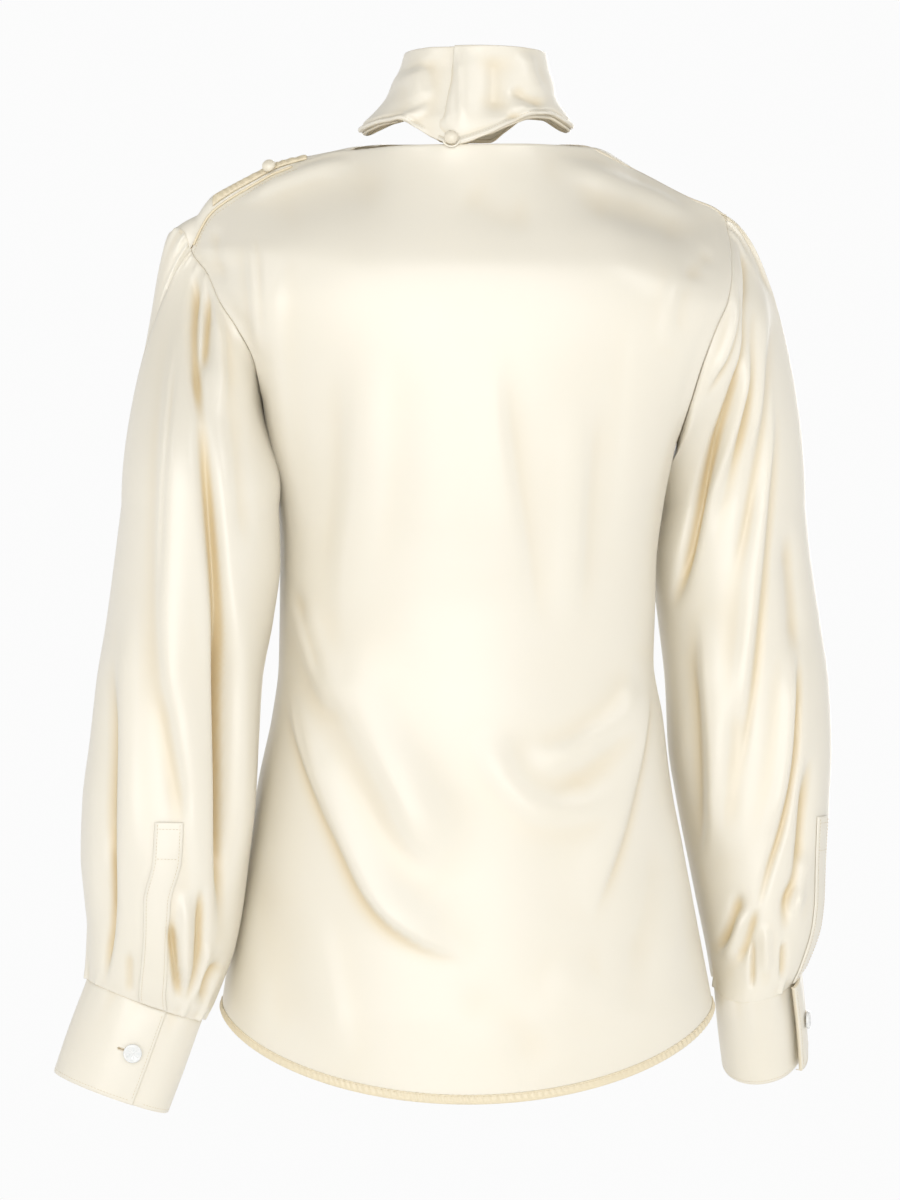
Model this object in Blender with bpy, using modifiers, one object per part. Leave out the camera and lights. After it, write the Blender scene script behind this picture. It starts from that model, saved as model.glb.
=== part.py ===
"""A satin blouse, hollow and in the pose it is worn in, with nobody inside.

Metres, +Z up. The back of the blouse faces -Y and its front +Y. Seen from
behind, the wearer's left sleeve is at -X and the right one at +X. The origin
is between the shoulders at the foot of the neck, where the wearer carries it.
"Left" and "right" in names are the wearer's own.
"""

import math

import bmesh
import bpy
import numpy as np
from mathutils import Matrix, Vector

# Cloth
WALL = 0.0012  # every panel's thickness
SEAM = 0.0009  # between two pieces sewn edge to edge
ARMHOLE_SEAM = 0.0015  # the same round the armholes, where the walls meet at an angle
RIDGE_SEAM = 0.0026  # the same where they meet over a ridge, measured outside
LIE = 0.0006  # between a piece and the panel it lies on

# Body
HEM_AT_SIDE = -0.619
HEM_AT_MIDDLE = -0.677
HEM_ROUNDNESS = 1.3
SHOULDER_FALL = 0.085  # how far down the shoulder takes to round over
BODY_FULLNESS = 0.85  # under 1 is fuller than an ellipse
RIDGE_REACH = 0.055
HEM_WIDTH = 0.007
PANEL_CROWDING = 1.6  # over 1 puts more rows near the shoulders
SHOULDER_STRIP = (3.0, 6.8)  # panel columns where the shoulder placket starts and ends
HEM_WALL = 0.0010
HEM_TUCK = 0.0008

# Sleeves
SLEEVE_FREE = -0.26  # below this level the sleeve's rings are level
SLEEVE_HEAD_SWELL = {"left": 0.020, "right": 0.036}
CUFF_DEEP = 0.069
CUFF_ACROSS = 0.043  # half its width
CUFF_THROUGH = 0.031  # half its thickness front to back
CUFF_LAP = 28.0  # degrees of overlap
CUFF_LAP_EDGE = 115.0  # where the overlap ends, in degrees from the outer side
CUFF_BUTTON_IN = 17.0  # the button, in degrees from that edge
CUFF_STEP = 0.0023  # how far the overlap stands off the underlap
CUFF_ROUND = 360.0 + CUFF_LAP
CUFF_UNDER_FROM = 334.0  # where the underlap starts to sink, in degrees from the overlap's edge
CUFF_UNDER_OVER = 38.0
PLACKET_WIDE = 0.020
PLACKET_LONG = 0.135
PLACKET_WALL = 0.0008
PLACKET_FOOT = 0.985
PLACKET_TURN = {"left": 0.27, "right": 0.08}
SLEEVE_LONG = 0.56
SLEEVE_COLUMNS = 22
SLEEVE_ROWS = 16
SLEEVE_UPPER = 0.3  # the share of the sleeve above SLEEVE_FREE
SLEEVE_PARTED = 5  # the row where its solid is parted in two, to keep each one simple
PARTED_BY = 0.0008
GATHERED_FROM = 0.86  # the share of the free sleeve where it starts to gather into the cuff
LEVEL_UNTIL = 0.93  # the share where its rings reach the last row of the table
PLEATED_FROM = 0.72

# Collar
COLLAR_TOP = 0.066
COLLAR_LAP_EDGE = -17.0  # degrees from centre back
COLLAR_UNDERLAP = 4.0
COLLAR_STEP = 0.0024
COLLAR_UNDER_FROM = 318.0  # where the underlap starts to sink
COLLAR_UNDER_OVER = 22.0
COLLAR_WALL = 0.0010
COLLAR_EDGE_REACH = 0.078  # how far to each side the tables of its lower edge run
FACING_FROM = 12.0
FACING_TO = 312.0
FACING_TOP = 0.985  # where it stops below the collar's top
FACING_DROP = 0.0028
FACING_INSIDE = 0.0015
FACING_AT_TIP = 0.0016
TIP_POINT = 0.14
TIP_SHARPNESS = 8

# Buttons and loop
CUFF_BUTTON = 0.0132
CUFF_BUTTON_THICK = 0.0030
COVERED_BUTTON = 0.0100
COVERED_BUTTON_HIGH = 0.0050
BUTTON_FLAT_AT = 0.15  # how far below its widest level it is cut flat, against its width
BUTTON_ABOVE_EDGE = 0.36  # the neck button's middle above the collar's edge, against its width
BUTTON_FACE = 0.72  # the cuff button's face against its back
BUTTON_SEAT = 2.85  # the shoulder button's height over the placket, in times LIE
LOOP_CORD = 0.0015
LOOP_RADIUS = 0.0065
LOOP_STANDS = 0.0018
LOOP_DROP = 0.95  # how deep the loop is against its width
LOOP_FROM = 195.0
LOOP_TO = 345.0
NECK_BUTTON_TURN = -9.0
SHOULDER_BUTTON_COLUMN = 5.6


class Table:
    """Rows sorted along the first column, read smoothly in between and held at the ends."""

    def __init__(self, columns, *rows):
        self.columns = columns.split()
        self.rows = np.array(sorted(rows))

    def at(self, column, where):
        place = self.rows[:, 0]
        value = self.rows[:, self.columns.index(column)]
        where = min(max(where, place[0]), place[-1])
        right = min(max(int(np.searchsorted(place, where)), 1), len(place) - 1)
        left = right - 1
        step = np.diff(place)
        chord = np.diff(value) / step
        slopes = [self.slope(chord, row) for row in (left, right)]
        t = (where - place[left]) / step[left]
        rise = value[right] - value[left]
        first = slopes[0] * step[left]
        last = slopes[1] * step[left]
        return (
            value[left]
            + first * t
            + (3 * rise - 2 * first - last) * t * t
            + (first + last - 2 * rise) * t**3
        )

    @staticmethod
    def slope(chord, row):
        """The slope at a row, which never overshoots its neighbours."""
        before = chord[max(row - 1, 0)]
        after = chord[min(row, len(chord) - 1)]
        if before * after <= 0:
            return 0.0
        return 2 * before * after / (before + after)


BODY = Table(
    "height left right back front",
    (-0.050, -0.1990, 0.1865, -0.080, 0.070),
    (-0.076, -0.1974, 0.1885, -0.090, 0.085),
    (-0.095, -0.1850, 0.1880, -0.096, 0.095),
    (-0.115, -0.1760, 0.1845, -0.099, 0.104),
    (-0.135, -0.1630, 0.1760, -0.101, 0.110),
    (-0.160, -0.1500, 0.1665, -0.102, 0.114),
    (-0.185, -0.1455, 0.1590, -0.102, 0.115),
    (-0.215, -0.1415, 0.1505, -0.101, 0.115),
    (-0.260, -0.1362, 0.1412, -0.098, 0.112),
    (-0.300, -0.1345, 0.1362, -0.094, 0.107),
    (-0.342, -0.1348, 0.1350, -0.091, 0.103),
    (-0.375, -0.1355, 0.1340, -0.091, 0.101),
    (-0.410, -0.1400, 0.1405, -0.093, 0.101),
    (-0.452, -0.1490, 0.1456, -0.097, 0.103),
    (-0.504, -0.1580, 0.1541, -0.102, 0.106),
    (-0.560, -0.1680, 0.1655, -0.107, 0.109),
    (-0.619, -0.1765, 0.1770, -0.111, 0.112),
)

# The shoulder seams and the back neckline, from the left arm to the right one.
BACK_TOP = Table(
    "across depth height",
    (-0.1990, -0.014, -0.0760),
    (-0.1830, -0.018, -0.0500),
    (-0.1724, -0.020, -0.0416),
    (-0.1516, -0.022, -0.0294),
    (-0.1338, -0.023, -0.0202),
    (-0.0850, -0.022, -0.0060),
    (-0.0480, -0.046, -0.0056),
    (-0.0080, -0.0592, -0.0062),
    (0.0400, -0.048, -0.0045),
    (0.0900, -0.012, -0.0030),
    (0.1246, 0.006, -0.0185),
    (0.1606, 0.006, -0.0370),
    (0.1780, 0.006, -0.0440),
    (0.1865, 0.006, -0.0500),
)

# The same seams with the front neckline between them.
FRONT_TOP = Table(
    "across depth height",
    (-0.1990, -0.014, -0.0760),
    (-0.1830, -0.018, -0.0500),
    (-0.1724, -0.020, -0.0416),
    (-0.1516, -0.022, -0.0294),
    (-0.1338, -0.023, -0.0202),
    (-0.0850, -0.022, -0.0060),
    (-0.0620, 0.036, 0.0085),
    (-0.0320, 0.0545, 0.0100),
    (0.0000, 0.0612, 0.0078),
    (0.0340, 0.0540, 0.0100),
    (0.0660, 0.038, 0.0080),
    (0.0900, -0.012, -0.0030),
    (0.1246, 0.006, -0.0185),
    (0.1606, 0.006, -0.0370),
    (0.1780, 0.006, -0.0440),
    (0.1865, 0.006, -0.0500),
)

# How far the front rises from the left seam before it turns down, and its own left edge.
LEFT_RIDGE = Table(
    "across lift",
    (-0.2130, 0.030),
    (-0.1990, 0.029),
    (-0.1677, 0.020),
    (-0.1418, 0.0175),
    (-0.1130, 0.014),
    (-0.0856, 0.010),
    (-0.0600, 0.000),
)
FRONT_LEFT = Table(
    "height across",
    (-0.185, -0.1455),
    (-0.160, -0.1620),
    (-0.130, -0.1920),
    (-0.108, -0.2080),
    (-0.092, -0.2125),
    (-0.084, -0.2080),
    (-0.076, -0.1990),
)

# Where the panels' armhole edges lie, front to back.
LEFT_ARMHOLE = Table(
    "height back front",
    (-0.185, -0.0003, 0.0003),
    (-0.178, -0.022, 0.022),
    (-0.160, -0.046, 0.045),
    (-0.130, -0.058, 0.058),
    (-0.100, -0.052, 0.052),
    (-0.084, -0.034, 0.030),
    (-0.076, -0.014, -0.013),
)
RIGHT_ARMHOLE = Table(
    "height back front",
    (-0.215, -0.0003, 0.0003),
    (-0.207, -0.022, 0.022),
    (-0.185, -0.046, 0.046),
    (-0.140, -0.060, 0.062),
    (-0.090, -0.052, 0.056),
    (-0.062, -0.026, 0.034),
    (-0.050, 0.006, 0.007),
)
UNDERARM = {"left": -0.185, "right": -0.215}
SLEEVE_HEAD = {"left": -0.076, "right": -0.050}

# Sleeve rings by the level of their middle. Rise is how much higher the outer side is.
LEFT_SLEEVE = Table(
    "height outer inner middle half_depth rise",
    (-0.260, -0.2450, -0.1335, -0.045, 0.060, 0.000),
    (-0.300, -0.2500, -0.1325, -0.046, 0.061, 0.000),
    (-0.342, -0.2555, -0.1375, -0.047, 0.062, 0.000),
    (-0.384, -0.2625, -0.1450, -0.047, 0.062, 0.000),
    (-0.425, -0.2670, -0.1475, -0.048, 0.062, 0.000),
    (-0.472, -0.2725, -0.1500, -0.049, 0.062, 0.002),
    (-0.510, -0.2735, -0.1545, -0.050, 0.061, 0.005),
    (-0.542, -0.2710, -0.1590, -0.050, 0.058, 0.010),
    (-0.567, -0.2690, -0.1645, -0.050, 0.054, 0.016),
    (-0.590, -0.2690, -0.1725, -0.050, 0.046, 0.023),
)
RIGHT_SLEEVE = Table(
    "height outer inner middle half_depth rise",
    (-0.260, 0.2480, 0.1392, 0.052, 0.060, 0.000),
    (-0.298, 0.2520, 0.1350, 0.052, 0.061, 0.000),
    (-0.342, 0.2585, 0.1400, 0.051, 0.062, 0.000),
    (-0.388, 0.2645, 0.1450, 0.047, 0.062, 0.000),
    (-0.433, 0.2665, 0.1470, 0.046, 0.062, 0.000),
    (-0.472, 0.2650, 0.1530, 0.045, 0.061, 0.001),
    (-0.522, 0.2620, 0.1630, 0.043, 0.058, 0.003),
    (-0.546, 0.2610, 0.1680, 0.041, 0.055, 0.005),
    (-0.569, 0.2580, 0.1730, 0.039, 0.051, 0.007),
    (-0.590, 0.2520, 0.1780, 0.037, 0.046, 0.009),
)

# The cuffs: where the top ring's middle is, which way the cuff runs, how far it is turned
# outward about itself, in degrees, and how far its overlap stands off.
CUFFS = {
    "left": {
        "top": (-0.2285, -0.050, -0.6105),
        "down": (-0.342, 0.0, -0.940),
        "turn": 0.0,
        "flare": 0.0,
    },
    "right": {
        "top": (0.2115, 0.034, -0.5985),
        "down": (0.115, 0.420, -0.900),
        "turn": 70.0,
        "flare": 0.005,
    },
}
OUTWARD = {"left": -1.0, "right": 1.0}
SLEEVES = {"left": LEFT_SLEEVE, "right": RIGHT_SLEEVE}

# The collar: how wide and deep it is at each level, and where its lower edge runs.
COLLAR = Table(
    "height half_width half_depth middle_across middle_depth",
    (-0.008, 0.0705, 0.0640, 0.0000, 0.0030),
    (0.013, 0.0682, 0.0610, 0.0000, 0.0035),
    (0.023, 0.0655, 0.0585, 0.0020, 0.0040),
    (0.037, 0.0605, 0.0555, 0.0035, 0.0050),
    (0.046, 0.0580, 0.0540, 0.0045, 0.0060),
    (0.054, 0.0545, 0.0530, 0.0055, 0.0070),
    (0.066, 0.0515, 0.0520, 0.0062, 0.0080),
)
COLLAR_BACK_EDGE = Table(
    "across height",
    (-0.0780, 0.0101),
    (-0.0673, 0.0134),
    (-0.0549, 0.0135),
    (-0.0434, 0.0085),
    (-0.0292, 0.0007),
    (-0.0095, -0.0055),
    (0.0133, 0.0007),
    (0.0367, 0.0108),
    (0.0561, 0.0175),
    (0.0679, 0.0185),
    (0.0780, 0.0130),
)
COLLAR_FRONT_EDGE = Table(
    "across height",
    (-0.0780, 0.0101),
    (-0.0660, 0.0230),
    (-0.0500, 0.0270),
    (-0.0340, 0.0190),
    (-0.0200, 0.0115),
    (0.0200, 0.0115),
    (0.0340, 0.0190),
    (0.0500, 0.0270),
    (0.0660, 0.0250),
    (0.0780, 0.0130),
)

# The largest folds, each along a straight line seen from behind. A negative depth is a
# trough. "reach" is how far to each side it fades.
BACK_FOLDS = (
    # from x, from z, to x, to z, reach, depth
    (-0.132, -0.390, -0.060, -0.560, 0.022, -0.005),
    (-0.100, -0.385, -0.035, -0.530, 0.024, 0.005),
    (0.128, -0.400, 0.085, -0.560, 0.020, -0.005),
    (-0.120, -0.050, -0.020, -0.022, 0.016, -0.004),
    (0.060, -0.030, 0.150, -0.060, 0.014, -0.004),
)
FRONT_FOLDS = (
    (-0.095, -0.200, -0.060, -0.560, 0.030, -0.005),
    (0.090, -0.200, 0.070, -0.560, 0.030, -0.005),
    (0.000, -0.350, 0.005, -0.640, 0.032, 0.005),
)
SLEEVE_FOLDS = {
    "left": (
        (-0.200, -0.120, -0.178, -0.590, 0.016, -0.008),
        (-0.222, -0.300, -0.200, -0.560, 0.018, 0.005),
    ),
    "right": (
        (0.185, -0.110, 0.160, -0.520, 0.018, -0.006),
        (0.215, -0.300, 0.220, -0.570, 0.018, -0.006),
    ),
}
CUFF_PLEATS = 7
PLEAT_DEPTH = 0.004

SATIN = {"colour": (0.83, 0.78, 0.66, 1), "roughness": 0.35}
PEARL = {"colour": (0.80, 0.80, 0.77, 1), "roughness": 0.18}

NODES = bpy.data.collections.new("blouse")


def clear_scene():
    for item in list(bpy.data.objects):
        bpy.data.objects.remove(item)
    bpy.context.scene.collection.children.link(NODES)


def material(name, look):
    made = bpy.data.materials.new(name)
    made.use_nodes = True
    shader = made.node_tree.nodes["Principled BSDF"]
    shader.inputs["Base Color"].default_value = look["colour"]
    shader.inputs["Roughness"].default_value = look["roughness"]
    return made


def blend(a, b, share):
    return a + (b - a) * share


def ease(value):
    value = min(max(value, 0.0), 1.0)
    return value * value * (3 - 2 * value)


def fold_push(folds, x, z):
    """How far out the folds push a point of the cloth."""
    push = 0.0
    for from_x, from_z, to_x, to_z, reach, depth in folds:
        along_x, along_z = to_x - from_x, to_z - from_z
        length = math.hypot(along_x, along_z)
        place = ((x - from_x) * along_x + (z - from_z) * along_z) / length**2
        beside = ((x - from_x) * along_z - (z - from_z) * along_x) / length
        if 0 < place < 1:
            push += depth * math.sin(math.pi * place) ** 0.7 * math.exp(-((beside / reach) ** 2))
    return push


def torso_point(face, across, down):
    """A point of the back or front panel. Across runs from -1, left, to 1, right."""
    angle = across * math.pi / 2
    share = (1 + math.sin(angle)) / 2
    top = BACK_TOP if face == "back" else FRONT_TOP
    toward = -1 if face == "back" else 1
    top_x = blend(top.rows[0, 0], top.rows[-1, 0], share)
    top_z = top.at("height", top_x)
    top_y = top.at("depth", top_x) + toward * (SEAM if top_x < 0 else RIDGE_SEAM) / 2
    hem_z = blend(HEM_AT_SIDE, HEM_AT_MIDDLE, max(math.cos(angle), 0) ** HEM_ROUNDNESS)
    level = blend(top_z, hem_z, down)
    left = BODY.at("left", level)
    if face == "front" and level > UNDERARM["left"]:
        left = FRONT_LEFT.at("across", level)
    x = blend(left, BODY.at("right", level), share)
    edge = blend(LEFT_ARMHOLE.at(face, level), RIGHT_ARMHOLE.at(face, level), share)
    full = blend(edge, BODY.at(face, level), max(math.cos(angle), 0) ** BODY_FULLNESS)
    fallen = (top_z - level) / SHOULDER_FALL
    fallen = min(max(fallen, 0), 1)
    y = blend(top_y, full, math.sin(fallen * math.pi / 2) ** 0.8)
    z = level
    if face == "front":
        passed = min(max((top_z - level) / RIDGE_REACH, 0), 1)
        z += LEFT_RIDGE.at("lift", top_x) * math.sin(math.pi * passed**0.6)
    folds = BACK_FOLDS if face == "back" else FRONT_FOLDS
    y += toward * fold_push(folds, x, z) * math.cos(angle)
    return Vector((x, y, z))


def armhole_point(side, turn):
    """A point of the armhole: 0 at the sleeve head, 0.5 at the underarm, by way of the back."""
    share = (1 - math.cos(2 * math.pi * turn)) / 2
    level = blend(SLEEVE_HEAD[side], UNDERARM[side], share)
    face = "back" if turn <= 0.5 else "front"
    across = OUTWARD[side]
    table = BACK_TOP if face == "back" else FRONT_TOP
    top_z = table.rows[0 if side == "left" else -1, 2]
    down = (top_z - level) / (top_z - HEM_AT_SIDE)
    return torso_point(face, across, down)


def cuff_frame(side):
    """The cuff's own axes: outward, toward the back, and down along the arm."""
    down = Vector(CUFFS[side]["down"]).normalized()
    back = Vector((0, -1, 0))
    back = (back - back.dot(down) * down).normalized()
    outward = back.cross(down) * -OUTWARD[side]
    if outward.x * OUTWARD[side] < 0:
        outward = -outward
    return outward, back, down


def cuff_point(side, degrees, along, stand_off=0.0):
    """A point of the cuff. Degrees run from its own outer side by way of the back."""
    outward, back, down = cuff_frame(side)
    turn = math.radians(CUFFS[side]["turn"])
    angle = math.radians(degrees)
    long_way = (CUFF_ACROSS + stand_off) * math.cos(angle)
    short_way = (CUFF_THROUGH + stand_off) * math.sin(angle)
    out = long_way * math.cos(turn) + short_way * math.sin(turn)
    rear = short_way * math.cos(turn) - long_way * math.sin(turn)
    return Vector(CUFFS[side]["top"]) + outward * out + back * rear + down * along


def sleeve_ring(side, turn, level):
    """A point of a level ring of the sleeve: 0 is its outer side, 0.25 its back."""
    table = SLEEVES[side]
    outer, inner = table.at("outer", level), table.at("inner", level)
    angle = 2 * math.pi * turn
    middle = (outer + inner) / 2
    x = middle + (outer - inner) / 2 * math.cos(angle)
    y = table.at("middle", level) - table.at("half_depth", level) * math.sin(angle)
    z = level + table.at("rise", level) / 2 * math.cos(angle)
    return Vector((x, y, z))


def sleeve_point(side, turn, down):
    """Down is 0 at the armhole, SLEEVE_UPPER at the first level ring and 1 at the cuff."""
    out = OUTWARD[side]
    lowest = SLEEVES[side].rows[0, 0]
    if down < SLEEVE_UPPER:
        t = down / SLEEVE_UPPER
        start = armhole_point(side, turn) + Vector((out, 0, -0.7)) * ARMHOLE_SEAM
        end = sleeve_ring(side, turn, SLEEVE_FREE)
        top_side = (1 + math.cos(2 * math.pi * turn)) / 2
        leave = Vector((out * blend(0.0015, SLEEVE_HEAD_SWELL[side], top_side), 0, -0.022))
        arrive = end + Vector((out * blend(-0.001, 0.001, top_side), 0, blend(0.030, 0.070, top_side)))
        first = start + leave
        a = start.lerp(first, t)
        b = first.lerp(arrive, t)
        c = arrive.lerp(end, t)
        point = a.lerp(b, t).lerp(b.lerp(c, t), t)
    else:
        t = (down - SLEEVE_UPPER) / (1 - SLEEVE_UPPER)
        gather = ease((t - GATHERED_FROM) / (1 - GATHERED_FROM))
        level = blend(SLEEVE_FREE, lowest, min(t / LEVEL_UNTIL, 1))
        point = sleeve_ring(side, turn, level)
        own_turn = turn * 360 + CUFFS[side]["turn"]
        seam = cuff_point(side, own_turn, -SEAM)
        point = point.lerp(seam, gather)
        centre = sleeve_ring(side, 0, level).lerp(sleeve_ring(side, 0.5, level), 0.5)
        outward = (point - centre).normalized()
        beside = abs((turn - PLACKET_TURN[side] + 0.5) % 1 - 0.5)
        pleats = math.sin(2 * math.pi * turn * CUFF_PLEATS) * PLEAT_DEPTH * ease((beside - 0.03) / 0.06)
        pleated = ease((t - PLEATED_FROM) / (1 - PLEATED_FROM))
        point += outward * pleats * math.sin(math.pi * pleated)
    facing = max(math.sin(2 * math.pi * turn), 0)
    calm = ease(down / 0.12) * ease((1 - down) / 0.08)
    push = fold_push(SLEEVE_FOLDS[side], point.x, point.z)
    return point + Vector((0, -push * facing * calm, 0))


def sheet(name, look, rows, closed=False, inward=True, wall=WALL):
    """A wall through rows of points. Closed rows join round on themselves."""
    mesh = bpy.data.meshes.new(name)
    wide = len(rows[0])
    points = [point for row in rows for point in row]
    faces = []
    for row in range(len(rows) - 1):
        for column in range(wide if closed else wide - 1):
            beside = (column + 1) % wide
            low, high = row * wide, (row + 1) * wide
            faces.append((low + column, low + beside, high + beside, high + column))
    mesh.from_pydata(points, [], faces)
    mesh.materials.append(look)
    mesh.shade_smooth()
    item = bpy.data.objects.new(name, mesh)
    NODES.objects.link(item)
    solid = item.modifiers.new("wall", "SOLIDIFY")
    solid.thickness = wall
    solid.offset = -1 if inward else 1
    solid.use_even_offset = True
    return item


def face_out(item, centre):
    """Turns the faces of an open sheet away from a point."""
    shape = bmesh.new()
    shape.from_mesh(item.data)
    lean = sum(
        (face.calc_center_median() - centre).dot(face.normal) * face.calc_area()
        for face in shape.faces
    )
    if lean < 0:
        bmesh.ops.reverse_faces(shape, faces=shape.faces)
    shape.to_mesh(item.data)
    shape.free()


def panel_grid(face):
    columns, rows = 22, 20
    return [
        [
            torso_point(face, blend(-1, 1, column / columns), (row / rows) ** PANEL_CROWDING)
            for column in range(columns + 1)
        ]
        for row in range(rows + 1)
    ]


def on_grid(grid, column, row, moved, centre):
    """A point on a panel's own facets, moved off them, away from the centre or toward it."""
    left, top = int(column), int(row)
    wide = len(grid[0])
    right, low = (left + 1) % wide, top + 1
    across = grid[top][right] - grid[top][left]
    down = grid[low][left] - grid[top][left]
    normal = across.cross(down).normalized()
    upper = grid[top][left].lerp(grid[top][right], column - left)
    lower = grid[low][left].lerp(grid[low][right], column - left)
    here = upper.lerp(lower, row - top)
    if normal.dot(here - centre) < 0:
        normal = -normal
    return here + normal * moved


def make_panels(look):
    for face in ("back", "front"):
        item = sheet(face + "_panel", look, panel_grid(face))
        face_out(item, Vector((0, 0, -0.35)))


def make_hems(look):
    centre = Vector((0, 0, -0.62))
    for face in ("back", "front"):
        grid = panel_grid(face)
        above, lowest = grid[-2:]
        rows = []
        for up in (HEM_TUCK, HEM_WIDTH):
            row = []
            for column in range(1, len(lowest) - 1):
                share = up / (above[column] - lowest[column]).length
                place = len(grid) - 1 - share
                row.append(on_grid(grid, column, place, -(WALL + LIE), centre))
            rows.append(row)
        item = sheet(face + "_hem", look, rows, wall=HEM_WALL)
        face_out(item, centre)


def make_shoulder_placket(look):
    """A narrow strip that lies along the left shoulder, just forward of the seam."""
    grid = panel_grid("front")
    centre = Vector((-0.13, 0, -0.2))
    rows = []
    for down in (0.08, 1.0):
        places = [blend(SHOULDER_STRIP[0], SHOULDER_STRIP[1], step / 10) for step in range(11)]
        rows.append([on_grid(grid, place, down, 2 * LIE + PLACKET_WALL, centre) for place in places])
    item = sheet("shoulder_placket", look, rows, wall=PLACKET_WALL)
    face_out(item, centre)


def sleeve_grid(side):
    return [
        [
            sleeve_point(side, column / SLEEVE_COLUMNS, row / SLEEVE_ROWS)
            for column in range(SLEEVE_COLUMNS)
        ]
        for row in range(SLEEVE_ROWS + 1)
    ]


def make_sleeves(look):
    """Each sleeve is one tube of cloth, in two solids with a fine gap where it is parted."""
    for side in ("left", "right"):
        grid = sleeve_grid(side)
        upper = grid[: SLEEVE_PARTED + 1]
        lower = grid[SLEEVE_PARTED:]
        first, second = lower[:2]
        lower[0] = [
            here + (below - here).normalized() * PARTED_BY
            for here, below in zip(first, second)
        ]
        for name, rows in (("_sleeve_upper", upper), ("_sleeve_lower", lower)):
            item = sheet(side + name, look, rows, closed=True)
            middle = sum((sum(row, Vector()) for row in rows), Vector()) / sum(map(len, rows))
            face_out(item, middle)


def cuff_lap_point(side, past, along):
    """A point of the cuff as it is worn, some degrees past the edge of its overlap."""
    under = ease((past - CUFF_UNDER_FROM) / CUFF_UNDER_OVER)
    flare = CUFFS[side]["flare"] * ease(1 - past / CUFF_UNDER_OVER)
    return cuff_point(side, CUFF_LAP_EDGE - past, along, flare - CUFF_STEP * under)


def make_cuffs(look):
    columns = 25
    for side in ("left", "right"):
        grid = [
            [
                cuff_lap_point(side, CUFF_ROUND * column / columns, along)
                for column in range(columns + 1)
            ]
            for along in (0.0, CUFF_DEEP / 2, CUFF_DEEP)
        ]
        item = sheet(side + "_cuff", look, grid)
        down = cuff_frame(side)[2]
        face_out(item, Vector(CUFFS[side]["top"]) + down * CUFF_DEEP / 2)


def collar_point(degrees, rise, stand_off=0.0, drop=0.0):
    """Degrees run from centre back toward the right. Rise is 0 at the lower edge, 1 at the top."""
    angle = math.radians(degrees)
    behind = math.cos(angle) > 0
    edge = COLLAR_BACK_EDGE if behind else COLLAR_FRONT_EDGE
    low = edge.at("height", COLLAR_EDGE_REACH * math.sin(angle)) - drop
    level = blend(low, COLLAR_TOP, rise)
    side = math.sin(angle)
    tip = 1 + TIP_POINT * abs(side) ** TIP_SHARPNESS * (1 - ease((level - 0.008) / 0.028))
    x = COLLAR.at("middle_across", level) + (COLLAR.at("half_width", level) + stand_off) * side * tip
    y = COLLAR.at("middle_depth", level) - (COLLAR.at("half_depth", level) + stand_off) * math.cos(angle)
    return Vector((x, y, level))


def make_collar(look):
    columns, rows = 34, 4
    first, last = COLLAR_LAP_EDGE, 360 + COLLAR_UNDERLAP
    grid = []
    for row in range(rows + 1):
        line = []
        for column in range(columns + 1):
            degrees = blend(first, last, column / columns)
            under = ease((degrees - COLLAR_UNDER_FROM) / COLLAR_UNDER_OVER)
            line.append(collar_point(degrees, row / rows, -COLLAR_STEP * under))
        grid.append(line)
    item = sheet("collar", look, grid, wall=COLLAR_WALL)
    face_out(item, Vector((0, 0, 0.03)))

    columns = 30
    grid = []
    for row in range(rows + 1):
        line = []
        for column in range(columns + 1):
            degrees = blend(FACING_FROM, FACING_TO, column / columns)
            drop = FACING_DROP * math.sin(math.pi * column / columns) ** 0.4
            inside = FACING_INSIDE + FACING_AT_TIP * abs(math.sin(math.radians(degrees))) ** 4
            line.append(collar_point(degrees, row / rows * FACING_TOP, -inside, drop))
        grid.append(line)
    item = sheet("collar_facing", look, grid, wall=COLLAR_WALL)
    face_out(item, Vector((0, 0, 0.03)))


def make_sleeve_plackets(look):
    columns, rows = 4, 10
    for side in ("left", "right"):
        grid = sleeve_grid(side)
        rows_of_points = []
        for row in range(rows + 1):
            down = blend(PLACKET_FOOT, PLACKET_FOOT - PLACKET_LONG / SLEEVE_LONG, row / rows)
            place = down * SLEEVE_ROWS
            ring = grid[int(place)]
            centre = sum(ring, Vector()) / len(ring)
            middle = PLACKET_TURN[side] * SLEEVE_COLUMNS
            column_wide = (ring[int(middle) + 1] - ring[int(middle)]).length
            half = PLACKET_WIDE / 2 / column_wide
            turns = [middle + blend(-half, half, column / columns) for column in range(columns + 1)]
            moved = PLACKET_WALL + 2 * LIE
            rows_of_points.append([on_grid(grid, turn, place, moved, centre) for turn in turns])
        item = sheet(side + "_sleeve_placket", look, rows_of_points, wall=PLACKET_WALL)
        face_out(item, centre)


def covered_button(name, look, centre, facing):
    """A small domed button covered in the same satin, flat behind."""
    shape = bmesh.new()
    bmesh.ops.create_uvsphere(shape, u_segments=14, v_segments=8, radius=COVERED_BUTTON / 2)
    floor = -COVERED_BUTTON * BUTTON_FLAT_AT
    squash = COVERED_BUTTON_HIGH / (COVERED_BUTTON / 2 - floor)
    for vertex in shape.verts:
        vertex.co.z = max(vertex.co.z, floor) * squash
    low = [vertex for vertex in shape.verts if vertex.co.z < floor * squash + 1e-6]
    bmesh.ops.delete(shape, geom=low, context="VERTS")
    rim = [edge for edge in shape.edges if edge.is_boundary]
    bmesh.ops.contextual_create(shape, geom=rim)
    mesh = bpy.data.meshes.new(name)
    shape.to_mesh(mesh)
    shape.free()
    place(name, look, mesh, centre, facing)


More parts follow.
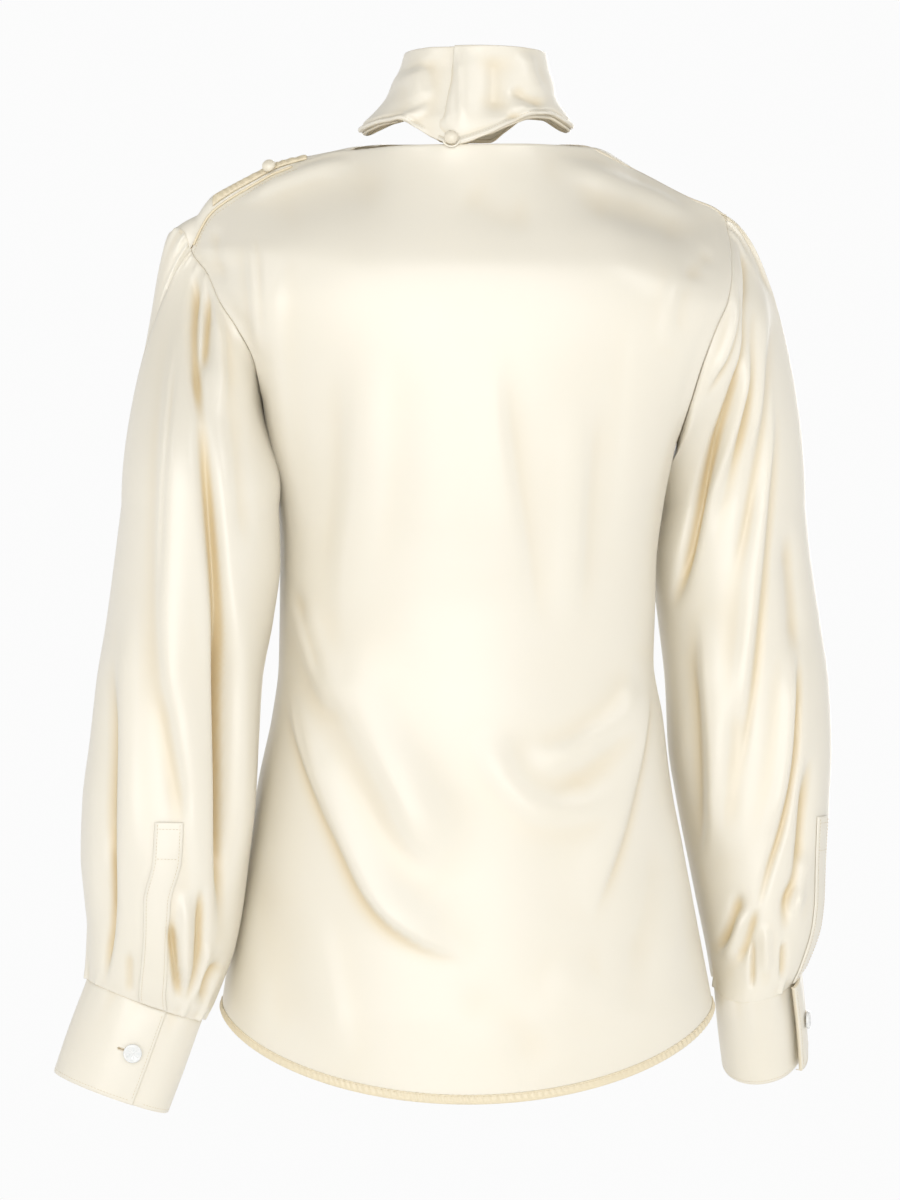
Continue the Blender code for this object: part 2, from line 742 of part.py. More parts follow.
def make_covered_buttons(look):
    neck = collar_point(NECK_BUTTON_TURN, 0.0)
    outward = (neck - Vector((neck.x * 0.4, 0, neck.z))).normalized()
    up = Vector((0, 0, COVERED_BUTTON * BUTTON_ABOVE_EDGE))
    seat = neck + up + outward * (COVERED_BUTTON * BUTTON_FLAT_AT + LIE)
    covered_button("neck_button", look, seat, outward)
    grid = panel_grid("front")
    inside = Vector((-0.13, 0, -0.2))
    high = PLACKET_WALL + BUTTON_SEAT * LIE
    seat = on_grid(grid, SHOULDER_BUTTON_COLUMN, 0.5, high, inside)
    below = on_grid(grid, SHOULDER_BUTTON_COLUMN, 0.5, 0, inside)
    covered_button("shoulder_button", look, seat, (seat - below).normalized())


def make_neck_loop(look):
    """A rouleau loop that starts at the neckline and passes under the neck button."""
    neck = collar_point(NECK_BUTTON_TURN, 0.0)
    curve = bpy.data.curves.new("neck_loop", "CURVE")
    curve.dimensions = "3D"
    curve.bevel_depth = LOOP_CORD / 2
    curve.bevel_resolution = 2
    curve.use_fill_caps = True
    spline = curve.splines.new("POLY")
    steps = 8
    spline.points.add(steps)
    for step in range(steps + 1):
        angle = math.radians(blend(LOOP_FROM, LOOP_TO, step / steps))
        x = neck.x + LOOP_RADIUS * math.cos(angle)
        z = neck.z + COVERED_BUTTON * BUTTON_ABOVE_EDGE + LOOP_RADIUS * LOOP_DROP * math.sin(angle)
        spline.points[step].co = (x, neck.y - LOOP_STANDS, z, 1)
    made = bpy.data.objects.new("neck_loop_curve", curve)
    NODES.objects.link(made)
    mesh = bpy.data.meshes.new_from_object(made.evaluated_get(bpy.context.evaluated_depsgraph_get()))
    shape = bmesh.new()
    shape.from_mesh(mesh)
    bmesh.ops.remove_doubles(shape, verts=shape.verts, dist=0.00001)
    shape.to_mesh(mesh)
    shape.free()
    mesh.materials.clear()
    mesh.materials.append(look)
    bpy.data.objects.remove(made)
    NODES.objects.link(bpy.data.objects.new("neck_loop", mesh))


def place(name, look, mesh, centre, facing):
    mesh.materials.append(look)
    item = bpy.data.objects.new(name, mesh)
    NODES.objects.link(item)
    item.matrix_world = Matrix.Translation(centre) @ facing.to_track_quat("Z", "Y").to_matrix().to_4x4()
    return item


def make_cuff_buttons(look):
    """A turned pearl disc on each cuff, narrower at its face."""
    for side in ("left", "right"):
        middle_height = CUFF_DEEP / 2
        here = cuff_lap_point(side, CUFF_BUTTON_IN, middle_height)
        before = cuff_lap_point(side, CUFF_BUTTON_IN - 3, middle_height)
        after = cuff_lap_point(side, CUFF_BUTTON_IN + 3, middle_height)
        down = cuff_frame(side)[2]
        facing = (after - before).cross(down).normalized()
        if facing.dot(here - Vector(CUFFS[side]["top"]) - down * middle_height) < 0:
            facing = -facing
        shape = bmesh.new()
        bmesh.ops.create_cone(
            shape,
            cap_ends=True,
            segments=20,
            radius1=CUFF_BUTTON / 2,
            radius2=CUFF_BUTTON / 2 * BUTTON_FACE,
            depth=CUFF_BUTTON_THICK,
        )
        mesh = bpy.data.meshes.new(side + "_cuff_button")
        shape.to_mesh(mesh)
        shape.free()
        seat = here + facing * (CUFF_BUTTON_THICK / 2 + LIE)
        place(side + "_cuff_button", look, mesh, seat, facing)


def main():
    clear_scene()
    satin = material("satin", SATIN)
    pearl = material("pearl", PEARL)
    make_panels(satin)
    make_hems(satin)
    make_sleeves(satin)
    make_sleeve_plackets(satin)
    make_cuffs(satin)
    make_collar(satin)
    make_shoulder_placket(satin)
    make_covered_buttons(satin)
    make_neck_loop(satin)
    make_cuff_buttons(pearl)


main()
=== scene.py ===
"""A satin blouse worn by nobody, seen from behind: its cloth, seams, stitches, buttons and light.

Metres, +Z up. The back of the blouse faces -Y. Seen from behind, the wearer's left sleeve is at -X.
"""

import math

import bmesh
import bpy
import numpy as np
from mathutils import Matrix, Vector


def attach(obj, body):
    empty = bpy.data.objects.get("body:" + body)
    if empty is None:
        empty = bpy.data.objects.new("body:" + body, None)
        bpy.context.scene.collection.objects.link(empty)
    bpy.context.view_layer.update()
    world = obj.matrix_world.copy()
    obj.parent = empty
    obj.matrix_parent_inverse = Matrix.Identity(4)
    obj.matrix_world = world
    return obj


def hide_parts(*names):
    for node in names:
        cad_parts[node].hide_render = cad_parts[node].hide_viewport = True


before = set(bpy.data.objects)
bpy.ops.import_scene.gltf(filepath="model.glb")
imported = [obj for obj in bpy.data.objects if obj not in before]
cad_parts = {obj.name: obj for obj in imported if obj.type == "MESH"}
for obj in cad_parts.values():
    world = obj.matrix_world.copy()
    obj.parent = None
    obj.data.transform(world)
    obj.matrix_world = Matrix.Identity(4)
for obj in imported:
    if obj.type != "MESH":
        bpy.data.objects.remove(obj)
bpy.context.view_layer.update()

SIDES = ("left", "right")
FACES = ("back", "front")
OUTWARD = {"left": -1.0, "right": 1.0}

WALL = 0.0006  # the shown cloth's thickness
STRIP_WALL = 0.0005  # that of a strip laid on other cloth
HEM_WALL = 0.0004
SEAM = 0.0004  # between two pieces sewn edge to edge
SEAM_TURN = 0.0022  # how deep an edge turns in at a seam
SEAM_ROLL = 0.0005  # how round it is as it turns
STRIP_TURN = 0.0004

# Body
HEM_AT_SIDE = -0.619
HEM_AT_MIDDLE = -0.677
HEM_ROUNDNESS = 1.3
SHOULDER_FALL = 0.125  # how far below the shoulders the panels reach their full depth
BODY_FULLNESS = 0.85
RIDGE_REACH = 0.055  # how far down the front still rises from the left seam
RIDGE_EARLY = 0.6  # under 1 puts the highest part of that rise nearer the seam
ARMHOLE_EVENED = 0.06  # how far up and down an armhole's depth is evened out
ARMHOLE_OWN = 0.22  # how near the armhole its own depth holds, as a share of half the panel
BODY_MIDDLE = (0, 0, -0.35)
UNDERARM = {"left": -0.185, "right": -0.215}

# Sleeves
SLEEVE_HEAD = {"left": -0.076, "right": -0.050}
SLEEVE_HEAD_SWELL = {"left": 0.020, "right": 0.036}  # how far the head stands out from the armhole
UNDERARM_SWELL = -0.0010
SLEEVE_FALL = 0.022  # how far the cloth heads down as it leaves the armhole
SLEEVE_FREE = -0.26  # below this level the sleeve's rings are level
SLEEVE_UPPER = 0.3  # the share of the sleeve above that level
FREE_OUT = (-0.005, 0.001)  # how far outward the cloth comes to that level from, inside and outside
FREE_ABOVE = (0.030, 0.070)  # and from how far above
LAST_RING = 0.93  # where the last ring lies, as a share of the way from that level to the cuff
FUNNEL_FROM = 0.86  # where the sleeve starts to draw in to the cuff
FUNNEL_OVER = 0.14
SLEEVE_LONG = 0.56
SLEEVE_ROUND = 0.40
BACK_TO_FRONT = 0.45  # how soon the folds of one side take over from the other's
CUFF_DEEP = 0.069
CUFF_ACROSS = 0.043  # half its width
CUFF_THROUGH = 0.031  # half its thickness front to back
CUFF_LAP = 28.0  # degrees of overlap
CUFF_LAP_EDGE = 115.0  # where the overlap's edge lies
CUFF_UNDER_FROM = 334.0  # where the other end sinks under it, in degrees past that edge
CUFF_UNDER_OVER = 38.0
CUFF_STEP = 0.0023
CUFF_BUTTON_IN = 17.0  # where the button sits, in degrees past the edge
CUFF_BUTTON_DOWN = 0.0345
PLACKET_LIFT = 0.0013  # how far the strip's edge lies off the sleeve
ON_PLACKET = 0.0017  # the stitches down its edges
ACROSS_PLACKET = 0.0019  # and those across it

# Collar
COLLAR_TOP = 0.066
COLLAR_MIDDLE = (0, 0, 0.03)
COLLAR_EDGE_REACH = 0.078  # how far to each side the tables of its lower edge run
COLLAR_LAP_EDGE = -17.0  # degrees from centre back
COLLAR_UNDERLAP = 4.0
COLLAR_UNDER_FROM = 318.0  # where the underlap starts to sink
COLLAR_UNDER_OVER = 22.0
COLLAR_STEP = 0.0024
COLLAR_HIGH = 0.065  # about its height, by which the rim is placed
COLLAR_RIM = 0.0009  # how far the rolled lower edge stands out
RIM_AT = 0.0016  # how far above the edge the rim lies
RIM_WIDE = 0.0014
RIM_GROOVE = 0.0006  # the dip above it
GROOVE_AT = 0.0052
GROOVE_WIDE = 0.0012
FACING_FROM = 12.0
FACING_TO = 312.0
FACING_TOP = 0.985  # where it stops below the collar's top
FACING_DROP = 0.0028  # how far it shows below the collar
FACING_INSIDE = 0.0015
FACING_AT_TIP = 0.0016  # how much farther inside it lies at the wings' tips
TIP_POINT = 0.14
TIP_SHARPNESS = 8
TIP_FROM = 0.008  # the wings' tips draw in from this level up
TIP_OVER = 0.028

# Buttons and loop
CUFF_BUTTON = 0.0132
COVERED_BUTTON = 0.0100
COVERED_BUTTON_HIGH = 0.0050
COVERED_BUTTON_RIM = 0.0014  # where its dome starts
LOOP_CORD = 0.0015
LOOP_RADIUS = 0.0065
LOOP_CLOSE = 0.95  # how near the button it runs, against that radius
NECK_BUTTON_TURN = -9.0
NECK_BUTTON_UP = 0.0036
NECK_BUTTON_OUT = 0.0021
SHOULDER_BUTTON_ACROSS = -0.491
SHOULDER_BUTTON_DOWN = 0.0017
SHOULDER_BUTTON_OUT = 0.0022

# A hem seen in section: how far up from its edge and how far out from the panel, in millimetres.
HEM_OUTSIDE = (
    (6.3, 0.1), (6.0, 0.5), (5.4, 0.65), (5.0, 0.5), (4.4, 0.65),
    (3.4, 0.95), (2.4, 1.1), (1.4, 1.1), (0.6, 0.9),
)
HEM_ROLL = ((-0.2, 0.6), (-0.5, -0.1), (-0.3, -0.8))
HEM_INSIDE = ((0.4, -1.2), (2.0, -1.3), (3.6, -1.3), (5.2, -1.25), (6.2, -1.1))
HEM_STITCH = 5.0
HEM_SLANT = 2500  # turns millimetres up the hem into the metres that its puckers lean by

# Folds
FOLD_REACH = 2.6  # how far a fold is felt, against its half width
FOLD_FADE = 0.3  # the share of its line over which it rises, and over which it fades
GATHER_SPREAD = 1.2  # how much a gather widens by its end
# Painted shade: the cloth turns golden in the hollows between folds and at turned edges, standing in for the
# shade that falls there.
PAINTED_SHADE_REACH = 0.011  # how far around a point its neighbours lie, when hollows are found
PAINTED_SHADE_DEPTH = 0.0035  # a hollow's depth at which the painted shade is full
EDGE_PAINTED_SHADE = 0.4  # how much golden painted shade a turned edge gets

# The colour of that painted shade.
PAINTED_SHADE_COLOUR = (0.78, 0.64, 0.40, 1)
THROUGH_COLOUR = (1.0, 0.90, 0.62, 1)  # of the light that comes through the cloth

STITCH_PITCH = 0.0024
STITCH_LONG = 0.0019
STITCH_WIDE = 0.00035


class Table:
    """Rows sorted along the first column, read smoothly in between and held at the ends."""

    def __init__(self, columns, *rows):
        self.columns = columns.split()
        self.rows = np.array(sorted(rows), float)

    def at(self, column, where):
        place = self.rows[:, 0]
        value = self.rows[:, self.columns.index(column)]
        step = np.diff(place)
        chord = np.diff(value) / step
        before = np.concatenate([chord[:1], chord])
        after = np.concatenate([chord, chord[-1:]])
        steady = before * after > 0
        slope = np.where(steady, 2 * before * after / np.where(steady, before + after, 1), 0)
        where = np.clip(where, place[0], place[-1])
        left = np.clip(np.searchsorted(place, where) - 1, 0, len(step) - 1)
        t = (where - place[left]) / step[left]
        rise = value[left + 1] - value[left]
        first = slope[left] * step[left]
        last = slope[left + 1] * step[left]
        bend = 3 * rise - 2 * first - last
        return value[left] + first * t + bend * t * t + (first + last - 2 * rise) * t**3


BODY = Table(
    "height left right back front",
    (0.012, -0.1990, 0.1865, -0.058, 0.050),
    (-0.020, -0.1990, 0.1865, -0.069, 0.060),
    (-0.050, -0.1990, 0.1865, -0.080, 0.070),
    (-0.076, -0.1974, 0.1885, -0.090, 0.085),
    (-0.095, -0.1850, 0.1880, -0.096, 0.095),
    (-0.115, -0.1760, 0.1845, -0.099, 0.104),
    (-0.135, -0.1630, 0.1760, -0.101, 0.110),
    (-0.160, -0.1500, 0.1665, -0.102, 0.114),
    (-0.185, -0.1455, 0.1590, -0.102, 0.115),
    (-0.215, -0.1415, 0.1505, -0.101, 0.115),
    (-0.260, -0.1362, 0.1412, -0.098, 0.112),
    (-0.300, -0.1345, 0.1362, -0.094, 0.107),
    (-0.342, -0.1348, 0.1350, -0.091, 0.103),
    (-0.375, -0.1355, 0.1340, -0.091, 0.101),
    (-0.410, -0.1400, 0.1405, -0.093, 0.101),
    (-0.452, -0.1490, 0.1456, -0.097, 0.103),
    (-0.504, -0.1580, 0.1541, -0.102, 0.106),
    (-0.560, -0.1680, 0.1655, -0.107, 0.109),
    (-0.619, -0.1765, 0.1770, -0.111, 0.112),
)

# The shoulder seams, and each panel's top edge: those seams with its neckline between them.
LEFT_SHOULDER = (
    (-0.1990, -0.014, -0.0760),
    (-0.1830, -0.018, -0.0500),
    (-0.1724, -0.020, -0.0416),
    (-0.1516, -0.022, -0.0294),
    (-0.1338, -0.023, -0.0202),
    (-0.0850, -0.022, -0.0060),
)
RIGHT_SHOULDER = (
    (0.0900, -0.012, -0.0030),
    (0.1246, 0.006, -0.0185),
    (0.1606, 0.006, -0.0370),
    (0.1780, 0.006, -0.0440),
    (0.1865, 0.006, -0.0500),
)
TOPS = {
    "back": Table(
        "across depth height",
        *LEFT_SHOULDER,
        (-0.0480, -0.046, -0.0056),
        (-0.0080, -0.0592, -0.0062),
        (0.0400, -0.048, -0.0045),
        *RIGHT_SHOULDER,
    ),
    "front": Table(
        "across depth height",
        *LEFT_SHOULDER,
        (-0.0620, 0.036, 0.0040),
        (-0.0320, 0.0545, 0.0052),
        (0.0000, 0.0612, 0.0040),
        (0.0340, 0.0540, 0.0052),
        (0.0660, 0.038, 0.0040),
        *RIGHT_SHOULDER,
    ),
}

# How far the front rises from the left seam before it turns down, and where its left edge runs
# above the underarm.
LEFT_RIDGE = Table(
    "across lift",
    (-0.2130, 0.030),
    (-0.1990, 0.029),
    (-0.1677, 0.020),
    (-0.1418, 0.0175),
    (-0.1130, 0.014),
    (-0.0856, 0.010),
    (-0.0600, 0.000),
)
FRONT_LEFT = Table(
    "height across",
    (-0.185, -0.1455),
    (-0.160, -0.1620),
    (-0.130, -0.1920),
    (-0.108, -0.2080),
    (-0.092, -0.2125),
    (-0.084, -0.2080),
    (-0.076, -0.1990),
)

# Where the panels' armhole edges lie, front to back.
LEFT_ARMHOLE = Table(
    "height back front",
    (-0.185, -0.0003, 0.0003),
    (-0.178, -0.022, 0.022),
    (-0.160, -0.046, 0.045),
    (-0.130, -0.058, 0.058),
    (-0.100, -0.052, 0.052),
    (-0.084, -0.034, 0.030),
    (-0.076, -0.014, -0.013),
)
RIGHT_ARMHOLE = Table(
    "height back front",
    (-0.215, -0.0003, 0.0003),
    (-0.207, -0.022, 0.022),
    (-0.185, -0.046, 0.046),
    (-0.140, -0.060, 0.062),
    (-0.090, -0.052, 0.056),
    (-0.062, -0.026, 0.034),
    (-0.050, 0.006, 0.007),
)

# Sleeve rings by the level of their middle. Rise is how much higher the outer side is.
SLEEVES = {
    "left": Table(
        "height outer inner middle half_depth rise",
        (-0.260, -0.2450, -0.1335, -0.045, 0.060, 0.000),
        (-0.300, -0.2500, -0.1325, -0.046, 0.061, 0.000),
        (-0.342, -0.2555, -0.1375, -0.047, 0.062, 0.000),
        (-0.384, -0.2625, -0.1450, -0.047, 0.062, 0.000),
        (-0.425, -0.2670, -0.1475, -0.048, 0.062, 0.000),
        (-0.472, -0.2725, -0.1500, -0.049, 0.062, 0.002),
        (-0.510, -0.2735, -0.1545, -0.050, 0.061, 0.005),
        (-0.542, -0.2710, -0.1590, -0.050, 0.058, 0.010),
        (-0.567, -0.2690, -0.1645, -0.050, 0.054, 0.016),
        (-0.590, -0.2690, -0.1725, -0.050, 0.046, 0.023),
    ),
    "right": Table(
        "height outer inner middle half_depth rise",
        (-0.260, 0.2480, 0.1392, 0.052, 0.060, 0.000),
        (-0.298, 0.2520, 0.1350, 0.052, 0.061, 0.000),
        (-0.342, 0.2585, 0.1400, 0.051, 0.062, 0.000),
        (-0.388, 0.2645, 0.1450, 0.047, 0.062, 0.000),
        (-0.433, 0.2665, 0.1470, 0.046, 0.062, 0.000),
        (-0.472, 0.2650, 0.1530, 0.045, 0.061, 0.001),
        (-0.522, 0.2620, 0.1630, 0.043, 0.058, 0.003),
        (-0.546, 0.2610, 0.1680, 0.041, 0.055, 0.005),
        (-0.569, 0.2580, 0.1730, 0.039, 0.051, 0.007),
        (-0.590, 0.2520, 0.1780, 0.037, 0.046, 0.009),
    ),
}

# The cuffs: where the top ring's middle is, which way the cuff runs, how far it is turned
# outward about itself, in degrees, and how far its overlap stands off.
CUFFS = {
    "left": {"top": (-0.2285, -0.050, -0.6105), "down": (-0.342, 0.0, -0.940), "turn": 0.0, "flare": 0.0},
    "right": {"top": (0.2115, 0.034, -0.5985), "down": (0.115, 0.420, -0.900), "turn": 70.0, "flare": 0.005},
}

COLLAR = Table(
    "height half_width half_depth middle_across middle_depth",
    (-0.008, 0.0705, 0.0640, 0.0000, 0.0030),
    (0.013, 0.0682, 0.0610, 0.0000, 0.0035),
    (0.023, 0.0655, 0.0585, 0.0020, 0.0040),
    (0.037, 0.0605, 0.0555, 0.0035, 0.0050),
    (0.046, 0.0580, 0.0540, 0.0045, 0.0060),
    (0.054, 0.0545, 0.0530, 0.0055, 0.0070),
    (0.066, 0.0515, 0.0520, 0.0062, 0.0080),
)
COLLAR_BACK_EDGE = Table(
    "across height",
    (-0.0780, 0.0101),
    (-0.0673, 0.0134),
    (-0.0549, 0.0135),
    (-0.0434, 0.0085),
    (-0.0292, 0.0007),
    (-0.0095, -0.0055),
    (0.0133, 0.0007),
    (0.0367, 0.0108),
    (0.0561, 0.0175),
    (0.0679, 0.0185),
    (0.0780, 0.0130),
)
COLLAR_FRONT_EDGE = Table(
    "across height",
    (-0.0780, 0.0101),
    (-0.0660, 0.0230),
    (-0.0500, 0.0270),
    (-0.0340, 0.0190),
    (-0.0200, 0.0115),
    (0.0200, 0.0115),
    (0.0340, 0.0190),
    (0.0500, 0.0270),
    (0.0660, 0.0250),
    (0.0780, 0.0130),
)

# Folds. Each one has its height in millimetres, negative for a trough, how far it reaches to the
# left and to the right of its line in millimetres, and the line's own points, from the top down,
# as seen from behind, in centimetres: across, and down from the mount.
BACK_FOLDS = (
    # the drape that falls from the left side to the middle of the hem, and the one above it
    (11.2, 4, 26, (-12.8, -38.4), (-11.6, -42.4), (-9.4, -48.0), (-6.5, -53.6), (-3.4, -56.2), (0.4, -57.6)),
    (-2.6, 3, 3, (-12.4, -39.4), (-10.6, -45.1), (-8.2, -51.0), (-6.2, -54.0)),
    (10.4, 16, 26, (-10.6, -34.0), (-8.2, -39.4), (-5.2, -45.0), (-3.2, -49.0), (-1.2, -52.4)),
    (-1.9, 4, 5, (-12.6, -31.1), (-11.4, -34.6), (-9.6, -39.0)),
    (3.8, 8, 14, (-12.2, -32.6), (-10.6, -37.2), (-8.8, -41.2)),
    # the long crease on the right and the swags that hang from it
    (5.5, 22, 3, (12.6, -38.0), (12.2, -42.6), (11.2, -47.4), (9.9, -51.4), (8.2, -55.4)),
    (-1.5, 3, 4, (12.2, -43.0), (11.3, -47.4), (10.1, -51.2), (8.8, -54.4)),
    (5.0, 10, 14, (12.6, -36.0), (11.4, -40.4), (8.8, -42.6), (6.0, -43.8), (3.4, -43.0)),
    (-2.6, 12, 12, (12.0, -40.6), (9.8, -43.8), (7.2, -45.8), (5.2, -46.2)),
    (4.0, 12, 16, (0.6, -41.0), (2.6, -45.2), (5.2, -47.4), (8.2, -47.2), (10.4, -45.2)),
    # soft folds down the middle
    (3.1, 20, 9, (-13.2, -6.4), (-13.6, -12.0), (-13.2, -20.0), (-12.2, -28.0)),
    (-2.3, 20, 12, (-9.6, -15.0), (-9.8, -24.4), (-10.8, -33.0)),
    (2.1, 10, 20, (-7.6, -15.0), (-7.8, -24.0), (-8.6, -32.0), (-7.6, -38.0)),
    (-1.1, 12, 18, (-4.6, -14.0), (-5.0, -24.4), (-5.8, -32.0)),
    (1.7, 26, 10, (1.2, -14.0), (2.6, -24.0), (4.0, -33.0)),
    (-1.7, 8, 24, (2.8, -16.8), (4.2, -26.2), (5.8, -36.0)),
    (1.7, 10, 20, (12.2, -12.0), (11.6, -20.0), (11.0, -30.0)),
    (-1.9, 10, 20, (9.6, -17.9), (9.2, -25.8), (8.8, -34.0)),
    (1.9, 14, 8, (8.0, -18.0), (7.6, -27.0), (7.0, -36.0)),
    # the shoulders
    (3.6, 5, 8, (-7.4, -1.2), (-11.0, -1.9), (-14.0, -3.0), (-16.6, -4.6)),
    (-2.8, 16, 20, (-4.0, -3.0), (-8.6, -3.6), (-12.6, -4.8), (-15.4, -6.6)),
    (3.8, 9, 9, (5.6, -1.8), (9.6, -2.7), (13.6, -4.0), (17.2, -5.8)),
    (-3.6, 14, 22, (6.6, -3.8), (11.0, -4.9), (14.6, -6.2), (17.0, -8.2)),
    (-1.6, 14, 18, (-1.0, -3.4), (2.2, -5.4), (5.6, -5.6)),
    # what pulls at the armholes
    (2.1, 5, 8, (-15.3, -6.9), (-15.0, -9.6), (-14.6, -13.0), (-14.2, -16.2)),
    (-1.3, 3, 3, (-15.0, -6.6), (-14.5, -11.0), (-14.1, -15.4)),
    (-2.1, 6, 6, (-17.8, -5.8), (-18.0, -8.4), (-17.0, -10.4)),
    (1.8, 8, 8, (15.6, -8.8), (14.6, -11.6), (13.9, -15.6)),
    (-1.1, 5, 7, (16.2, -8.4), (15.0, -11.4), (14.4, -15.0)),
    (-1.4, 8, 8, (17.6, -7.8), (16.4, -9.0), (16.0, -10.6)),
    # low at the left and right, and at the hem
    (-2.6, 14, 20, (-15.0, -50.0), (-13.9, -56.8), (-12.2, -64.5)),
    (2.1, 16, 12, (-11.2, -53.0), (-9.8, -59.0), (-8.6, -66.0)),
    (-1.6, 16, 16, (-2.0, -60.0), (3.0, -62.0), (6.0, -66.0)),
    (1.9, 16, 16, (5.0, -58.4), (9.4, -60.0), (12.2, -56.6)),
    (-2.3, 12, 18, (13.8, -48.0), (13.0, -55.0), (10.2, -62.0)),
    (2.3, 14, 14, (15.2, -46.0), (15.0, -54.0), (13.0, -62.0)),
)
FRONT_FOLDS = (
    (6.3, 22, 12, (-11.6, -16.0), (-10.4, -28.0), (-9.4, -42.0), (-10.2, -58.0)),
    (-4.2, 12, 16, (-8.8, -18.0), (-8.0, -30.0), (-7.2, -46.0), (-8.0, -62.0)),
    (4.5, 14, 22, (-5.6, -20.0), (-4.8, -34.0), (-4.2, -50.0), (-4.6, -66.0)),
    (-3.4, 18, 12, (-1.2, -22.0), (-0.6, -36.0), (0.4, -52.0), (0.2, -66.0)),
    (5.3, 16, 18, (2.6, -14.0), (3.0, -30.0), (3.8, -48.0), (3.4, -66.0)),
    (-4.5, 14, 10, (6.2, -18.0), (6.6, -32.0), (7.2, -48.0), (6.8, -64.0)),
    (5.9, 10, 22, (9.2, -15.0), (9.8, -28.0), (10.2, -44.0), (11.0, -60.0)),
    (7.0, 18, 5, (-12.4, -30.0), (-9.0, -37.0), (-3.4, -42.0), (3.0, -44.4)),
    (5.9, 16, 6, (12.2, -34.0), (9.2, -41.0), (4.2, -46.0), (-1.4, -48.6)),
    (5.6, 12, 18, (-7.8, 0.2), (-4.0, -4.6), (0.4, -6.4), (4.4, -4.8), (8.2, 0.0)),
    (4.8, 12, 20, (-9.8, -3.4), (-5.0, -10.0), (0.2, -12.4), (5.4, -10.4), (10.4, -4.0)),
)
BODY_FOLDS = {"back": BACK_FOLDS, "front": FRONT_FOLDS}
